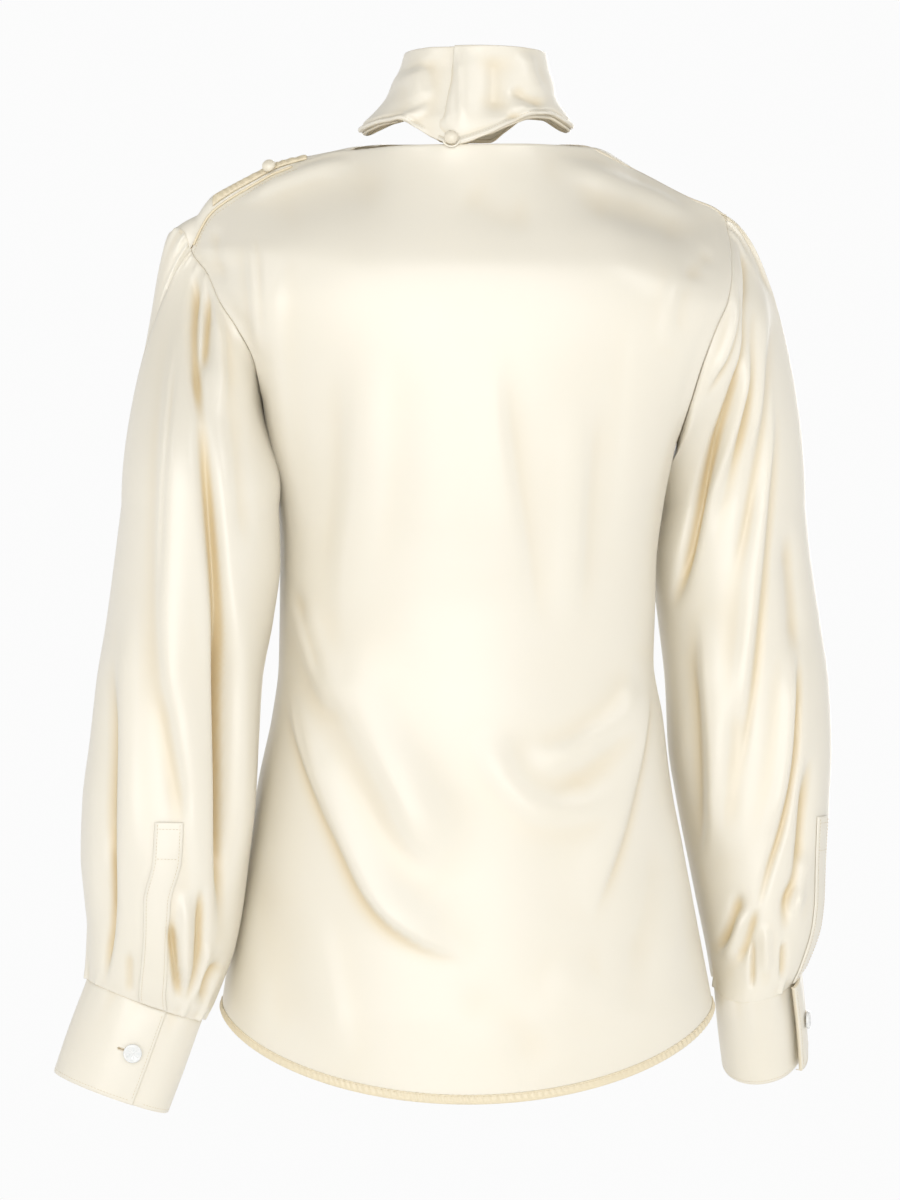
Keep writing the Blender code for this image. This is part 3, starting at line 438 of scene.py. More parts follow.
SLEEVE_BACK_FOLDS = {
    "left": (
        # the deep fold down the whole sleeve, and the short one that runs into it
        (-8.2, 4, 4, (-19.3, -8.4), (-19.5, -12.0), (-19.3, -15.4), (-18.6, -20.6)),
        (-13.5, 5, 6, (-19.0, -17.0), (-18.4, -22.4), (-17.5, -30.7), (-17.1, -36.2), (-17.0, -43.9),
         (-17.0, -51.5), (-17.3, -58.4)),
        (-9.0, 5, 6, (-17.2, -33.0), (-17.0, -40.0), (-17.0, -48.0), (-17.1, -55.0)),
        (-6.3, 3, 4, (-18.4, -9.2), (-18.5, -12.6), (-18.6, -17.4)),
        (4.5, 5, 5, (-17.8, -9.0), (-17.6, -14.0), (-17.3, -20.0)),
        (4.5, 8, 14, (-16.0, -30.0), (-15.8, -38.0), (-15.6, -47.0), (-15.9, -54.0)),
        # where the sleeve turns to the side
        (6.3, 8, 18, (-20.4, -10.5), (-20.5, -16.0), (-20.7, -24.0), (-20.8, -33.0), (-20.4, -39.0),
         (-19.4, -45.0), (-18.6, -51.5), (-18.2, -57.5)),
        (-1.8, 2, 3, (-20.5, -14.0), (-20.8, -21.0), (-21.1, -28.6), (-21.2, -33.5)),
        # close to the outer side
        (-9.0, 8, 6, (-25.0, -36.0), (-25.1, -43.0), (-25.2, -50.0), (-25.2, -55.5), (-25.5, -59.5)),
        (-5.2, 3, 3, (-25.2, -48.0), (-25.2, -55.0), (-25.5, -60.2)),
        (3.3, 8, 10, (-23.6, -32.0), (-23.7, -42.0), (-23.4, -52.0)),
        # soft ones
        (-1.8, 6, 8, (-16.6, -17.5), (-15.9, -23.7), (-15.4, -30.0)),
        (-2.7, 9, 9, (-21.1, -38.0), (-20.4, -43.6), (-19.4, -49.0)),
        # at the cuff
        (-6.8, 3, 3, (-20.7, -54.6), (-20.4, -57.7), (-20.1, -61.1)),
        (5.4, 5, 5, (-19.6, -52.6), (-19.7, -56.4), (-19.8, -60.4)),
        (-6.0, 3, 3, (-18.5, -52.2), (-18.7, -57.1), (-19.2, -59.8), (-19.8, -61.5)),
        (-5.4, 4, 4, (-16.9, -57.9), (-18.2, -59.4), (-18.6, -61.4)),
        (3.6, 4, 4, (-17.8, -56.5), (-18.6, -58.4), (-19.0, -61.0)),
        (-2.4, 4, 4, (-23.6, -57.0), (-23.7, -60.6)),
    ),
    "right": (
        # the long gathers that fan from the sleeve head
        (-3.6, 2, 3, (19.5, -8.9), (19.4, -12.5), (18.8, -15.0), (17.8, -17.0), (16.8, -18.6)),
        (3.6, 4, 4, (19.0, -9.6), (18.9, -12.9), (18.2, -15.4), (17.0, -17.8)),
        (-9.8, 3, 4, (18.9, -6.2), (19.8, -7.8), (20.2, -10.5), (19.9, -14.8), (19.0, -17.9), (17.9, -21.3)),
        (-9.0, 4, 5, (19.4, -17.0), (17.9, -21.3), (16.7, -25.6), (15.7, -29.9), (14.8, -34.2)),
        (6.0, 5, 7, (20.0, -13.0), (19.8, -16.4), (18.9, -20.4), (17.8, -24.6), (16.8, -29.0)),
        (-4.5, 3, 4, (20.7, -8.2), (20.8, -11.9), (20.5, -15.5), (19.7, -20.2), (18.4, -25.6)),
        (3.9, 4, 5, (21.1, -9.4), (21.2, -13.0), (20.9, -18.0), (19.9, -23.6)),
        (-4.5, 5, 8, (21.4, -11.2), (21.5, -15.5), (21.2, -20.6), (20.3, -26.3), (19.1, -32.0)),
        (5.1, 10, 6, (21.9, -13.0), (21.8, -20.0), (21.2, -26.3), (20.5, -33.0), (19.8, -39.0),
         (19.0, -45.0)),
        (-2.7, 2, 4, (22.2, -14.8), (22.1, -21.3), (21.7, -26.3), (21.1, -32.8), (20.4, -39.2),
         (19.4, -46.4)),
        (-3.3, 4, 4, (19.3, -5.2), (20.5, -6.6), (21.5, -8.5), (22.2, -10.9)),
        # down the sleeve
        (-4.5, 8, 6, (23.1, -27.0), (23.6, -32.8), (23.7, -37.4)),
        (5.2, 8, 4, (23.4, -36.0), (23.2, -41.0), (22.6, -46.0), (21.4, -50.4)),
        (-4.8, 3, 3, (24.0, -35.6), (23.8, -39.9), (23.6, -44.6), (22.7, -48.9), (21.5, -52.5),
         (20.6, -56.1)),
        (-7.5, 5, 5, (24.8, -43.2), (24.4, -48.2), (23.9, -52.5), (23.0, -54.6), (22.8, -57.5)),
        (4.5, 4, 4, (24.6, -50.6), (24.0, -53.0), (23.5, -55.6)),
        (6.8, 6, 16, (17.0, -33.0), (17.4, -38.0), (17.8, -43.5), (17.9, -48.6), (17.6, -52.0)),
        (-4.5, 9, 5, (15.9, -35.0), (16.3, -41.0), (16.5, -47.0), (16.6, -53.0)),
        (-3.3, 7, 9, (19.6, -39.0), (19.0, -45.7), (18.5, -50.5)),
        # at the cuff
        (-5.4, 4, 5, (19.7, -53.4), (18.8, -56.4), (17.9, -58.7)),
        (4.8, 5, 4, (19.9, -54.8), (19.3, -57.0), (18.4, -59.0)),
        (-3.9, 3, 3, (20.8, -54.6), (20.0, -57.5), (19.3, -59.2)),
        (-3.3, 2, 2, (20.5, -56.8), (20.5, -60.9)),
        (3.3, 4, 4, (21.4, -56.0), (21.5, -59.8)),
        (-3.3, 2, 3, (22.7, -57.0), (22.7, -60.2)),
    ),
}
SLEEVE_FRONT_FOLDS = {
    "left": (
        (-7.8, 6, 8, (-20.6, -9.6), (-20.6, -18.0), (-19.6, -28.0), (-19.0, -40.0), (-19.2, -54.0)),
        (5.2, 10, 14, (-18.0, -12.0), (-17.6, -22.0), (-17.0, -34.0), (-16.8, -48.0)),
        (-4.7, 8, 6, (-22.8, -13.0), (-23.2, -24.0), (-23.4, -38.0), (-23.8, -55.0)),
        (4.4, 12, 8, (-21.6, -22.0), (-21.6, -34.0), (-21.4, -46.0), (-21.4, -57.0)),
        (-3.9, 5, 5, (-17.0, -46.0), (-18.0, -54.0), (-19.6, -60.6)),
        (-4.4, 4, 4, (-21.0, -52.0), (-21.6, -57.0), (-22.2, -60.8)),
        (4.2, 5, 5, (-22.6, -52.0), (-23.2, -57.0), (-23.8, -60.4)),
    ),
    "right": (
        (-7.8, 6, 8, (20.2, -7.4), (20.4, -16.0), (19.4, -26.0), (18.2, -38.0), (18.4, -52.0)),
        (5.2, 14, 10, (17.6, -16.0), (16.8, -26.0), (16.2, -36.0), (16.6, -48.0)),
        (-5.2, 8, 6, (22.0, -10.0), (22.6, -22.0), (22.6, -36.0), (22.4, -53.0)),
        (4.4, 8, 12, (21.0, -20.0), (20.8, -32.0), (20.4, -44.0), (20.6, -56.0)),
        (-3.9, 5, 5, (16.8, -44.0), (17.8, -53.0), (19.0, -59.2)),
        (-4.4, 4, 4, (21.4, -50.0), (21.2, -56.0), (21.0, -59.8)),
        (4.2, 5, 5, (23.4, -50.0), (23.0, -56.0), (22.2, -59.6)),
    ),
}
# Gathers sewn into the sleeve heads. Each one has where it starts, as a share of the way round from
# the outer side by way of the back, how far down it runs in centimetres, and its lean, half width
# and height in millimetres.
HEAD_GATHERS = {
    "left": (
        (-0.16, 5.0, -3, 2.6, 1.6),
        (-0.12, 3.4, -2, 2.4, 1.3),
        (-0.085, 6.5, -2, 3.0, 1.8),
        (-0.045, 3.0, 0, 2.2, 1.3),
        (-0.015, 7.0, 1, 3.0, 1.7),
        (0.025, 3.6, 2, 2.4, 1.3),
        (0.060, 2.6, 2, 2.2, 1.2),
        (0.100, 2.4, 3, 2.0, 1.2),
        (0.135, 2.0, 3, 2.0, 1.0),
    ),
    "right": (
        (-0.17, 6.0, -6, 3.0, 1.8),
        (-0.13, 8.0, -5, 3.0, 2.1),
        (-0.09, 5.0, -3, 2.6, 1.8),
        (-0.055, 9.0, -1, 3.2, 2.3),
        (-0.02, 6.0, 1, 2.6, 1.8),
        (0.015, 9.0, 4, 3.0, 2.3),
        (0.05, 5.0, 6, 2.6, 1.8),
        (0.085, 6.0, 9, 2.6, 1.6),
    ),
}
# Pleats and gathers sewn into the cuffs, in the same way, running up from the cuff.
FOOT_GATHERS = {
    "left": (
        (0.02, 6.0, 2, 3.0, 2.8),
        (0.10, 3.0, 1, 2.6, 1.4),
        (0.37, 5.0, -3, 3.0, 2.2),
        (0.44, 6.0, -2, 3.4, 3.1),
        (0.52, 5.0, 0, 3.0, 2.8),
        (0.60, 7.0, 2, 3.4, 3.4),
        (0.68, 4.5, 0, 3.0, 2.5),
        (0.76, 6.5, -2, 3.2, 3.1),
        (0.85, 5.0, 1, 3.0, 2.8),
        (0.93, 6.0, 0, 3.2, 2.8),
    ),
    "right": (
        (0.17, 4.0, 2, 2.8, 2.2),
        (0.46, 5.0, -2, 3.0, 2.5),
        (0.53, 6.0, -2, 3.2, 3.1),
        (0.61, 5.0, 1, 3.0, 2.8),
        (0.69, 6.5, 2, 3.2, 3.1),
        (0.77, 4.6, 0, 3.0, 2.5),
        (0.86, 6.0, -1, 3.2, 3.1),
        (0.94, 5.0, 1, 3.0, 2.5),
    ),
}
# The plackets' two long edges, as shares of the way round the sleeve, from the top down.
PLACKETS = {
    "left": Table(
        "down first second",
        (0.738, 0.238, 0.287),
        (0.789, 0.239, 0.290),
        (0.850, 0.223, 0.273),
        (0.896, 0.224, 0.273),
        (0.941, 0.231, 0.292),
        (0.985, 0.244, 0.318),
    ),
    "right": Table(
        "down first second",
        (0.744, 0.054, 0.104),
        (0.850, 0.056, 0.106),
        (0.985, 0.056, 0.112),
    ),
}
COLLAR_FOLDS = (
    # the raised edge of the lap at centre back, with the hollow to its left and the one to its right
    (-3.7, 6, 4, (-1.2, 6.4), (-1.5, 4.2), (-1.9, 2.0), (-2.0, 0.2)),
    (2.7, 4, 8, (-0.5, 6.8), (-0.4, 3.4), (-0.4, 0.2)),
    (-3.8, 10, 13, (2.0, 6.8), (2.1, 3.6), (1.9, 1.0)),
    (2.7, 8, 5, (4.2, 6.6), (4.6, 4.6), (5.4, 2.8)),
    # the crease across the left side and the soft dip above the lower edge
    (2.6, 9, 9, (-4.0, 5.4), (-3.2, 3.6), (-2.9, 2.4)),
    (-1.9, 6, 7, (-3.0, 6.0), (-2.4, 4.6), (-2.1, 3.2)),
    (2.6, 3, 6, (-2.4, 2.6), (-3.8, 1.7), (-5.8, 1.2)),
    (-2.2, 3, 4, (-2.2, 2.1), (-3.8, 1.2), (-5.4, 0.9)),
    (-2.7, 4, 5, (-3.0, 0.9), (-2.0, 0.3), (-1.3, -0.4)),
    (1.9, 5, 5, (-4.4, 0.8), (-3.6, 0.4), (-3.0, 0.0)),
    # the right side
    (2.4, 4, 6, (3.0, 2.5), (4.6, 1.9), (6.4, 1.7)),
    (-2.1, 5, 5, (3.2, 3.9), (4.2, 2.9), (5.8, 2.5)),
    (-1.6, 4, 4, (2.6, 1.6), (4.0, 1.3), (5.6, 1.5)),
)


def blend(a, b, share):
    return a + (b - a) * share


def ease(value):
    """From 0 to 1, slowly at both ends."""
    value = np.clip(value, 0.0, 1.0)
    return value * value * (3 - 2 * value)


def unit(vectors):
    return vectors / np.maximum(np.linalg.norm(vectors, axis=-1, keepdims=True), 1e-12)


def points(x, y, z):
    return np.stack(np.broadcast_arrays(x, y, z), axis=-1)


# Folds


def smooth_path(given, steps=10):
    """A smooth curve through the given points."""
    p = np.array(given, float)
    p = np.vstack([2 * p[0] - p[1], p, 2 * p[-1] - p[-2]])
    t = np.linspace(0, 1, steps, endpoint=False)[:, None]
    runs = []
    for a, b, c, d in zip(p, p[1:], p[2:], p[3:]):
        bend = (2 * a - 5 * b + 4 * c - d) * t**2
        runs.append(0.5 * (2 * b + (c - a) * t + bend + (3 * (b - c) + d - a) * t**3))
    runs.append(p[-2:-1])
    return np.vstack(runs)


def one_fold(across, height, size, left, right, line):
    """How far one fold pushes each point out, all sizes in metres."""
    path = smooth_path(line)
    reach = FOLD_REACH * max(left, right)
    low, high = path.min(axis=0) - reach, path.max(axis=0) + reach
    near = (across > low[0]) & (across < high[0]) & (height > low[1]) & (height < high[1])
    x, z = across[near], height[near]
    runs = np.diff(path, axis=0)
    lengths = np.hypot(runs[:, 0], runs[:, 1])
    passed = np.concatenate([[0], np.cumsum(lengths)])
    apart = np.full(x.shape, np.inf)
    beside = np.zeros(x.shape)
    place = np.zeros(x.shape)
    for start, run, length, before in zip(path, runs, lengths, passed):
        dx, dz = x - start[0], z - start[1]
        share = np.clip((dx * run[0] + dz * run[1]) / length**2, 0, 1)
        distance = np.hypot(dx - share * run[0], dz - share * run[1])
        closer = distance < apart
        apart = np.where(closer, distance, apart)
        beside = np.where(closer, run[0] * dz - run[1] * dx, beside)
        place = np.where(closer, (before + share * length) / passed[-1], place)
    width = np.where(beside > 0, right, left)
    fade = ease(place / FOLD_FADE) * ease((1 - place) / FOLD_FADE)
    pushed = np.zeros(across.shape)
    pushed[near] = size * fade * np.exp(-((apart / width) ** 2))
    return pushed


def all_folds(base, folds):
    """Folds given in millimetres along lines given in centimetres, on the points of a form."""
    across, height = base[..., 0], base[..., 2]
    total = np.zeros(across.shape)
    for size, left, right, *line in folds:
        centimetres = np.array(line) / 100
        total += one_fold(across, height, size / 1000, left / 1000, right / 1000, centimetres)
    return total


def gathers(turn, along, rows):
    """Short folds sewn into an edge, spreading and fading away from it."""
    total = np.zeros(turn.shape)
    for start, length, lean, width, size in rows:
        gone = along / (length / 100)
        off = ((turn - start + 0.5) % 1 - 0.5) * SLEEVE_ROUND - lean / 1000 * gone
        wide = width / 1000 * (1 + GATHER_SPREAD * gone)
        fade = ease((1 - gone) / 0.9) * ease(gone / 0.02 + 0.35)
        total += size / 1000 * np.exp(-((off / wide) ** 2)) * fade
    return total


class Surface:
    """A form with the folds raised on it. It faces away from a point inside it."""

    def __init__(self, form, relief, inside, spans):
        self.form = form
        self.relief = relief
        self.spans = spans
        self.sign = 1.0
        u, v = np.meshgrid(np.linspace(*spans[0], 9)[1:-1], np.linspace(*spans[1], 9)[1:-1])
        away = self.form(u, v) - np.array(inside)
        if (away * self.normal(u, v)).sum() < 0:
            self.sign = -1.0

    def normal(self, u, v, step=0.002):
        wide, high = self.spans
        across = self.form(np.clip(u + step, *wide), v) - self.form(np.clip(u - step, *wide), v)
        down = self.form(u, np.clip(v + step, *high)) - self.form(u, np.clip(v - step, *high))
        return unit(np.cross(across, down)) * self.sign

    def at(self, u, v, lift=0.0):
        """Points of the folded surface, lifted off it by some distance."""
        base = self.form(u, v)
        pushed = self.relief(u, v, base) + lift
        return base + self.normal(u, v) * pushed[..., None]


# Body


def evened(table, face, level):
    """An armhole's depth, evened out over its neighbouring levels."""
    steps = np.linspace(-ARMHOLE_EVENED, ARMHOLE_EVENED, 21)
    return sum(table.at(face, level + step) for step in steps) / len(steps)


def torso_form(face, across, down):
    """The back or front. Across runs from -1, left, to 1, right, and down from 0 at the neck to 1."""
    angle = across * math.pi / 2
    share = (1 + np.sin(angle)) / 2
    top = TOPS[face]
    toward = -1 if face == "back" else 1
    top_x = blend(top.rows[0, 0], top.rows[-1, 0], share)
    top_z = top.at("height", top_x)
    top_y = top.at("depth", top_x) + toward * SEAM / 2
    rounded = np.maximum(np.cos(angle), 0)
    level = blend(top_z, blend(HEM_AT_SIDE, HEM_AT_MIDDLE, rounded**HEM_ROUNDNESS), down)
    left = BODY.at("left", level)
    if face == "front":
        left = np.where(level > UNDERARM["left"], FRONT_LEFT.at("across", level), left)
    x = blend(left, BODY.at("right", level), share)
    own = blend(LEFT_ARMHOLE.at(face, level), RIGHT_ARMHOLE.at(face, level), share)
    soft = blend(evened(LEFT_ARMHOLE, face, level), evened(RIGHT_ARMHOLE, face, level), share)
    edge = blend(own, soft, ease((1 - np.abs(across)) / ARMHOLE_OWN))
    full = blend(edge, BODY.at(face, level), rounded**BODY_FULLNESS)
    fallen = np.clip((top_z - level) / SHOULDER_FALL, 0, 1)
    y = blend(top_y, full, 1 - (1 - fallen) ** 3)
    z = level
    if face == "front":
        passed = np.clip((top_z - level) / RIDGE_REACH, 0, 1)
        z = z + LEFT_RIDGE.at("lift", top_x) * np.sin(math.pi * passed**RIDGE_EARLY)
    return points(x, y, z)


def torso_relief(face, across, down, base):
    """The folds of the back or front, calmed at its sides and along its top."""
    calm = ease((1 - np.abs(across)) / 0.10) * ease(down / 0.02)
    return all_folds(base, BODY_FOLDS[face]) * calm


def torso(face):
    return Surface(
        lambda u, v: torso_form(face, u, v),
        lambda u, v, base: torso_relief(face, u, v, base),
        BODY_MIDDLE,
        ((-1, 1), (0, 1)),
    )


# Sleeves and cuffs


def armhole_point(side, turn):
    """The armhole's edge: 0 at the sleeve head, 0.5 at the underarm, by way of the back."""
    turn = turn % 1
    share = (1 - np.cos(2 * math.pi * turn)) / 2
    level = blend(SLEEVE_HEAD[side], UNDERARM[side], share)
    found = []
    for face in FACES:
        top_z = TOPS[face].rows[0 if side == "left" else -1, 2]
        down = (top_z - level) / (top_z - HEM_AT_SIDE)
        found.append(torso_form(face, np.full(turn.shape, OUTWARD[side]), down))
    return np.where((turn <= 0.5)[..., None], found[0], found[1])


def cuff_frame(side):
    """The cuff's own axes: outward, toward the back, and down along the arm."""
    down = unit(np.array(CUFFS[side]["down"]))
    back = np.array((0.0, -1.0, 0.0))
    back = unit(back - back.dot(down) * down)
    outward = np.cross(back, down)
    if outward[0] * OUTWARD[side] < 0:
        outward = -outward
    return outward, back, down


def cuff_point(side, degrees, along, stand_off=0.0):
    """A point of the cuff. Degrees run from its own outer side by way of the back."""
    outward, back, down = cuff_frame(side)
    turn = math.radians(CUFFS[side]["turn"])
    angle = np.radians(degrees)
    long_way = (CUFF_ACROSS + stand_off) * np.cos(angle)
    short_way = (CUFF_THROUGH + stand_off) * np.sin(angle)
    out = long_way * math.cos(turn) + short_way * math.sin(turn)
    rear = short_way * math.cos(turn) - long_way * math.sin(turn)
    along = np.broadcast_to(along, out.shape)
    top = np.array(CUFFS[side]["top"])
    return top + out[..., None] * outward + rear[..., None] * back + along[..., None] * down


def cuff_lap_point(side, past, along):
    """A point of the cuff as it is worn, some degrees past the edge of its overlap."""
    under = ease((past - CUFF_UNDER_FROM) / CUFF_UNDER_OVER)
    flare = CUFFS[side]["flare"] * ease(1 - past / CUFF_UNDER_OVER)
    return cuff_point(side, CUFF_LAP_EDGE - past, along, flare - CUFF_STEP * under)


def sleeve_ring(side, turn, level):
    """A level ring of the sleeve: 0 is its outer side, 0.25 its back."""
    table = SLEEVES[side]
    outer, inner = table.at("outer", level), table.at("inner", level)
    angle = 2 * math.pi * turn
    x = (outer + inner) / 2 + (outer - inner) / 2 * np.cos(angle)
    y = table.at("middle", level) - table.at("half_depth", level) * np.sin(angle)
    z = level + table.at("rise", level) / 2 * np.cos(angle)
    return points(x, y, z)


def sleeve_form(side, turn, down):
    """The sleeve: a sweep from the armhole down to its free rings, and those drawn in to the cuff."""
    out = OUTWARD[side]
    turn, down = np.broadcast_arrays(turn, down)
    t = np.clip(down / SLEEVE_UPPER, 0, 1)[..., None]
    top_side = (1 + np.cos(2 * math.pi * turn)) / 2
    start = armhole_point(side, turn) + np.array((out, 0, -0.7)) * SEAM
    end = sleeve_ring(side, turn, np.full(turn.shape, SLEEVE_FREE))
    swell = blend(UNDERARM_SWELL, SLEEVE_HEAD_SWELL[side], top_side)
    first = start + points(out * swell, 0.0, -SLEEVE_FALL)
    second = end + points(out * blend(*FREE_OUT, top_side), 0.0, blend(*FREE_ABOVE, top_side))
    upper = start * (1 - t) ** 3 + first * 3 * t * (1 - t) ** 2 + second * 3 * t**2 * (1 - t) + end * t**3

    low = (down - SLEEVE_UPPER) / (1 - SLEEVE_UPPER)
    level = blend(SLEEVE_FREE, SLEEVES[side].rows[0, 0], np.clip(low / LAST_RING, 0, 1))
    ring = sleeve_ring(side, turn, level)
    seam = cuff_point(side, turn * 360 + CUFFS[side]["turn"], -SEAM)
    lower = blend(ring, seam, ease((low - FUNNEL_FROM) / FUNNEL_OVER)[..., None])
    return np.where((down < SLEEVE_UPPER)[..., None], upper, lower)


def sleeve_relief(side, turn, down, base):
    """Its folds, behind and before, and the gathers at its two ends."""
    around = np.sin(2 * math.pi * turn)
    behind = all_folds(base, SLEEVE_BACK_FOLDS[side]) * ease(around / BACK_TO_FRONT)
    before = all_folds(base, SLEEVE_FRONT_FOLDS[side]) * ease(-around / BACK_TO_FRONT)
    calm = ease(down / 0.05) * ease((1 - down) / 0.03)
    head = gathers(turn, down * SLEEVE_LONG, HEAD_GATHERS[side])
    foot = gathers(turn, (1 - down) * SLEEVE_LONG, FOOT_GATHERS[side])
    return (behind + before) * calm + head + foot * ease((1 - down) / 0.012)


def sleeve(side):
    return Surface(
        lambda u, v: sleeve_form(side, u, v),
        lambda u, v, base: sleeve_relief(side, u, v, base),
        (OUTWARD[side] * 0.2, 0, -0.4),
        ((-1, 2), (0, 1)),
    )


# Collar


def collar_form(degrees, rise, stand_off=0.0, drop=0.0):
    """Degrees run from centre back toward the right. Rise is 0 at the lower edge and 1 at the top."""
    angle = np.radians(degrees)
    side = np.sin(angle)
    behind = COLLAR_BACK_EDGE.at("height", COLLAR_EDGE_REACH * side)
    before = COLLAR_FRONT_EDGE.at("height", COLLAR_EDGE_REACH * side)
    low = np.where(np.cos(angle) > 0, behind, before) - drop
    level = blend(low, COLLAR_TOP, rise)
    tip = 1 + TIP_POINT * np.abs(side) ** TIP_SHARPNESS * (1 - ease((level - TIP_FROM) / TIP_OVER))
    x = COLLAR.at("middle_across", level) + (COLLAR.at("half_width", level) + stand_off) * side * tip
    y = COLLAR.at("middle_depth", level) - (COLLAR.at("half_depth", level) + stand_off) * np.cos(angle)
    return points(x, y, level)


def underlap(degrees):
    """How far the collar has sunk under its own lap, from 0 to 1."""
    return ease((degrees - COLLAR_UNDER_FROM) / COLLAR_UNDER_OVER)


def collar_folds(degrees, base):
    """The folds behind. The front and the underlap are smooth."""
    behind = ease(np.cos(np.radians(degrees)) / 0.3)
    return all_folds(base, COLLAR_FOLDS) * behind * (1 - underlap(degrees))


def collar_relief(degrees, rise, base):
    """The folds, the rolled lower edge with a groove above it, and the step down to the underlap."""
    under = underlap(degrees)
    up = rise * COLLAR_HIGH
    rim = COLLAR_RIM * np.exp(-(((up - RIM_AT) / RIM_WIDE) ** 2))
    rim = rim - RIM_GROOVE * np.exp(-(((up - GROOVE_AT) / GROOVE_WIDE) ** 2))
    return collar_folds(degrees, base) + rim * (1 - under) - COLLAR_STEP * under


def collar():
    return Surface(
        collar_form,
        collar_relief,
        COLLAR_MIDDLE,
        ((COLLAR_LAP_EDGE, 360 + COLLAR_UNDERLAP), (0, 1)),
    )


# Making cloth


def turned_in(grid, normals, start, end, depth=SEAM_TURN):
    """Adds two rows to the grid's start, its end or both, so that the edge rolls in."""
    for wanted, first, second in ((start, 0, 1), (end, -1, -2)):
        if not wanted:
            continue
        outward = unit(grid[first] - grid[second]) * SEAM_ROLL
        rolled = grid[first] + outward - normals[first] * SEAM_ROLL
        deep = rolled + outward * 0.1 - normals[first] * depth
        if first == 0:
            grid = np.concatenate([deep[None], rolled[None], grid])
            normals = np.concatenate([normals[:1], normals[:1], normals])
        else:
            grid = np.concatenate([grid, rolled[None], deep[None]])
            normals = np.concatenate([normals, normals[-1:], normals[-1:]])
    return grid, normals


def turned_at_sides(grid, normals, depth=SEAM_TURN):
    grid, normals = turned_in(grid.swapaxes(0, 1), normals.swapaxes(0, 1), True, True, depth)
    return grid.swapaxes(0, 1), normals.swapaxes(0, 1)


def mesh_of(name, grid, closed):
    """A quad mesh through a grid of points. A closed grid joins round on itself."""
    rows, columns = grid.shape[:2]
    count = np.arange(rows * columns).reshape(rows, columns)
    if closed:
        count = np.hstack([count, count[:, :1]])
    corners = np.stack([count[:-1, :-1], count[:-1, 1:], count[1:, 1:], count[1:, :-1]], axis=-1)
    mesh = bpy.data.meshes.new(name)
    mesh.from_pydata(grid.reshape(-1, 3).tolist(), [], corners.reshape(-1, 4).tolist())
    return mesh


def faces_along(mesh, normals):
    """Turns the faces over if they look against the given normals, one for each vertex."""
    mesh.update()
    looks = np.zeros(len(mesh.vertices) * 3)
    mesh.vertices.foreach_get("normal", looks)
    if (looks.reshape(-1, 3) * normals.reshape(-1, 3)).sum() < 0:
        mesh.flip_normals()


def shell(name, grid, normals, look, closed=False, wall=WALL):
    """A thin wall of cloth through a grid of points, laid under its face side."""
    mesh = mesh_of(name, grid, closed)
    faces_along(mesh, normals)
    item = keep(name, mesh, look)
    solid = item.modifiers.new("wall", "SOLIDIFY")
    solid.thickness = wall
    solid.offset = -1
    return item


def smoothed(values, rows, columns):
    """Values averaged over some rows and columns to either side of each."""
    for axis, reach in ((0, rows), (1, columns)):
        room = [(0, 0), (0, 0)]
        room[axis] = (reach, reach)
        wide = np.pad(values, room, mode="edge")
        count = values.shape[axis]
        values = sum(np.take(wide, range(start, start + count), axis) for start in range(2 * reach + 1))
        values = values / (2 * reach + 1)
    return values


def painted_shade_mask(base, relief):
    """How hollow each point of a folded grid lies among its neighbours, from 0 to 1: how much golden painted
    shade it gets.
    """
    down = np.linalg.norm(np.diff(base, axis=0), axis=-1).mean()
    across = np.linalg.norm(np.diff(base, axis=1), axis=-1).mean()
    around = smoothed(relief, int(PAINTED_SHADE_REACH / down), int(PAINTED_SHADE_REACH / across))
    return np.clip((around - relief) / PAINTED_SHADE_DEPTH, 0, 1)


def cloth(name, surface, u, v, look, turned=("top", "foot"), closed=False):
    """Cloth over a surface, with the named edges turned in: top, foot or sides."""
    across, down = np.meshgrid(u, v)
    base = surface.form(across, down)
    relief = surface.relief(across, down, base)
    normals = surface.normal(across, down)
    grid = base + normals * relief[..., None]
    # deep is the painted shade mask: hollows among the folds and the turned edges get golden shade colour.
    deep = np.pad(
        painted_shade_mask(base, relief),
        ((2 * ("top" in turned), 2 * ("foot" in turned)), (2 * ("sides" in turned),) * 2),
        constant_values=EDGE_PAINTED_SHADE,
    )
    grid, normals = turned_in(grid, normals, "top" in turned, "foot" in turned)
    if "sides" in turned:
        grid, normals = turned_at_sides(grid, normals)
    item = shell(name, grid, normals, look, closed)
    # The painted shade mask goes to the material as a vertex attribute.
    item.data.attributes.new("painted_shade", "FLOAT", "POINT").data.foreach_set("value", deep.ravel())
    return item


def strip(name, surface, first, second, v, look, lift, ripple=None):
    """A band of cloth laid on a surface between two edges given down its length."""
    share, down = np.meshgrid(np.linspace(0, 1, 12), v)
    u = blend(np.broadcast_to(first, v.shape)[:, None], np.broadcast_to(second, v.shape)[:, None], share)
    raised = lift + 0.0004 * np.sin(math.pi * share) ** 0.5
    if ripple is not None:
        raised = raised + ripple(share, down)
    grid = surface.at(u, down, raised)
    normals = surface.normal(u, down)
    grid, normals = turned_in(grid, normals, True, True, STRIP_TURN)
    grid, normals = turned_at_sides(grid, normals, STRIP_TURN)
    return shell(name, grid, normals, look, wall=STRIP_WALL)


def passed_along(path):
    """How far along a path each of its points lies."""
    steps = np.linalg.norm(np.diff(path, axis=0), axis=1)
    return np.concatenate([[0], np.cumsum(steps)])


def read_path(path, passed, where):
    """The path's values at some lengths along it."""
    return np.stack([np.interp(where, passed, path[:, axis]) for axis in range(path.shape[1])], axis=-1)


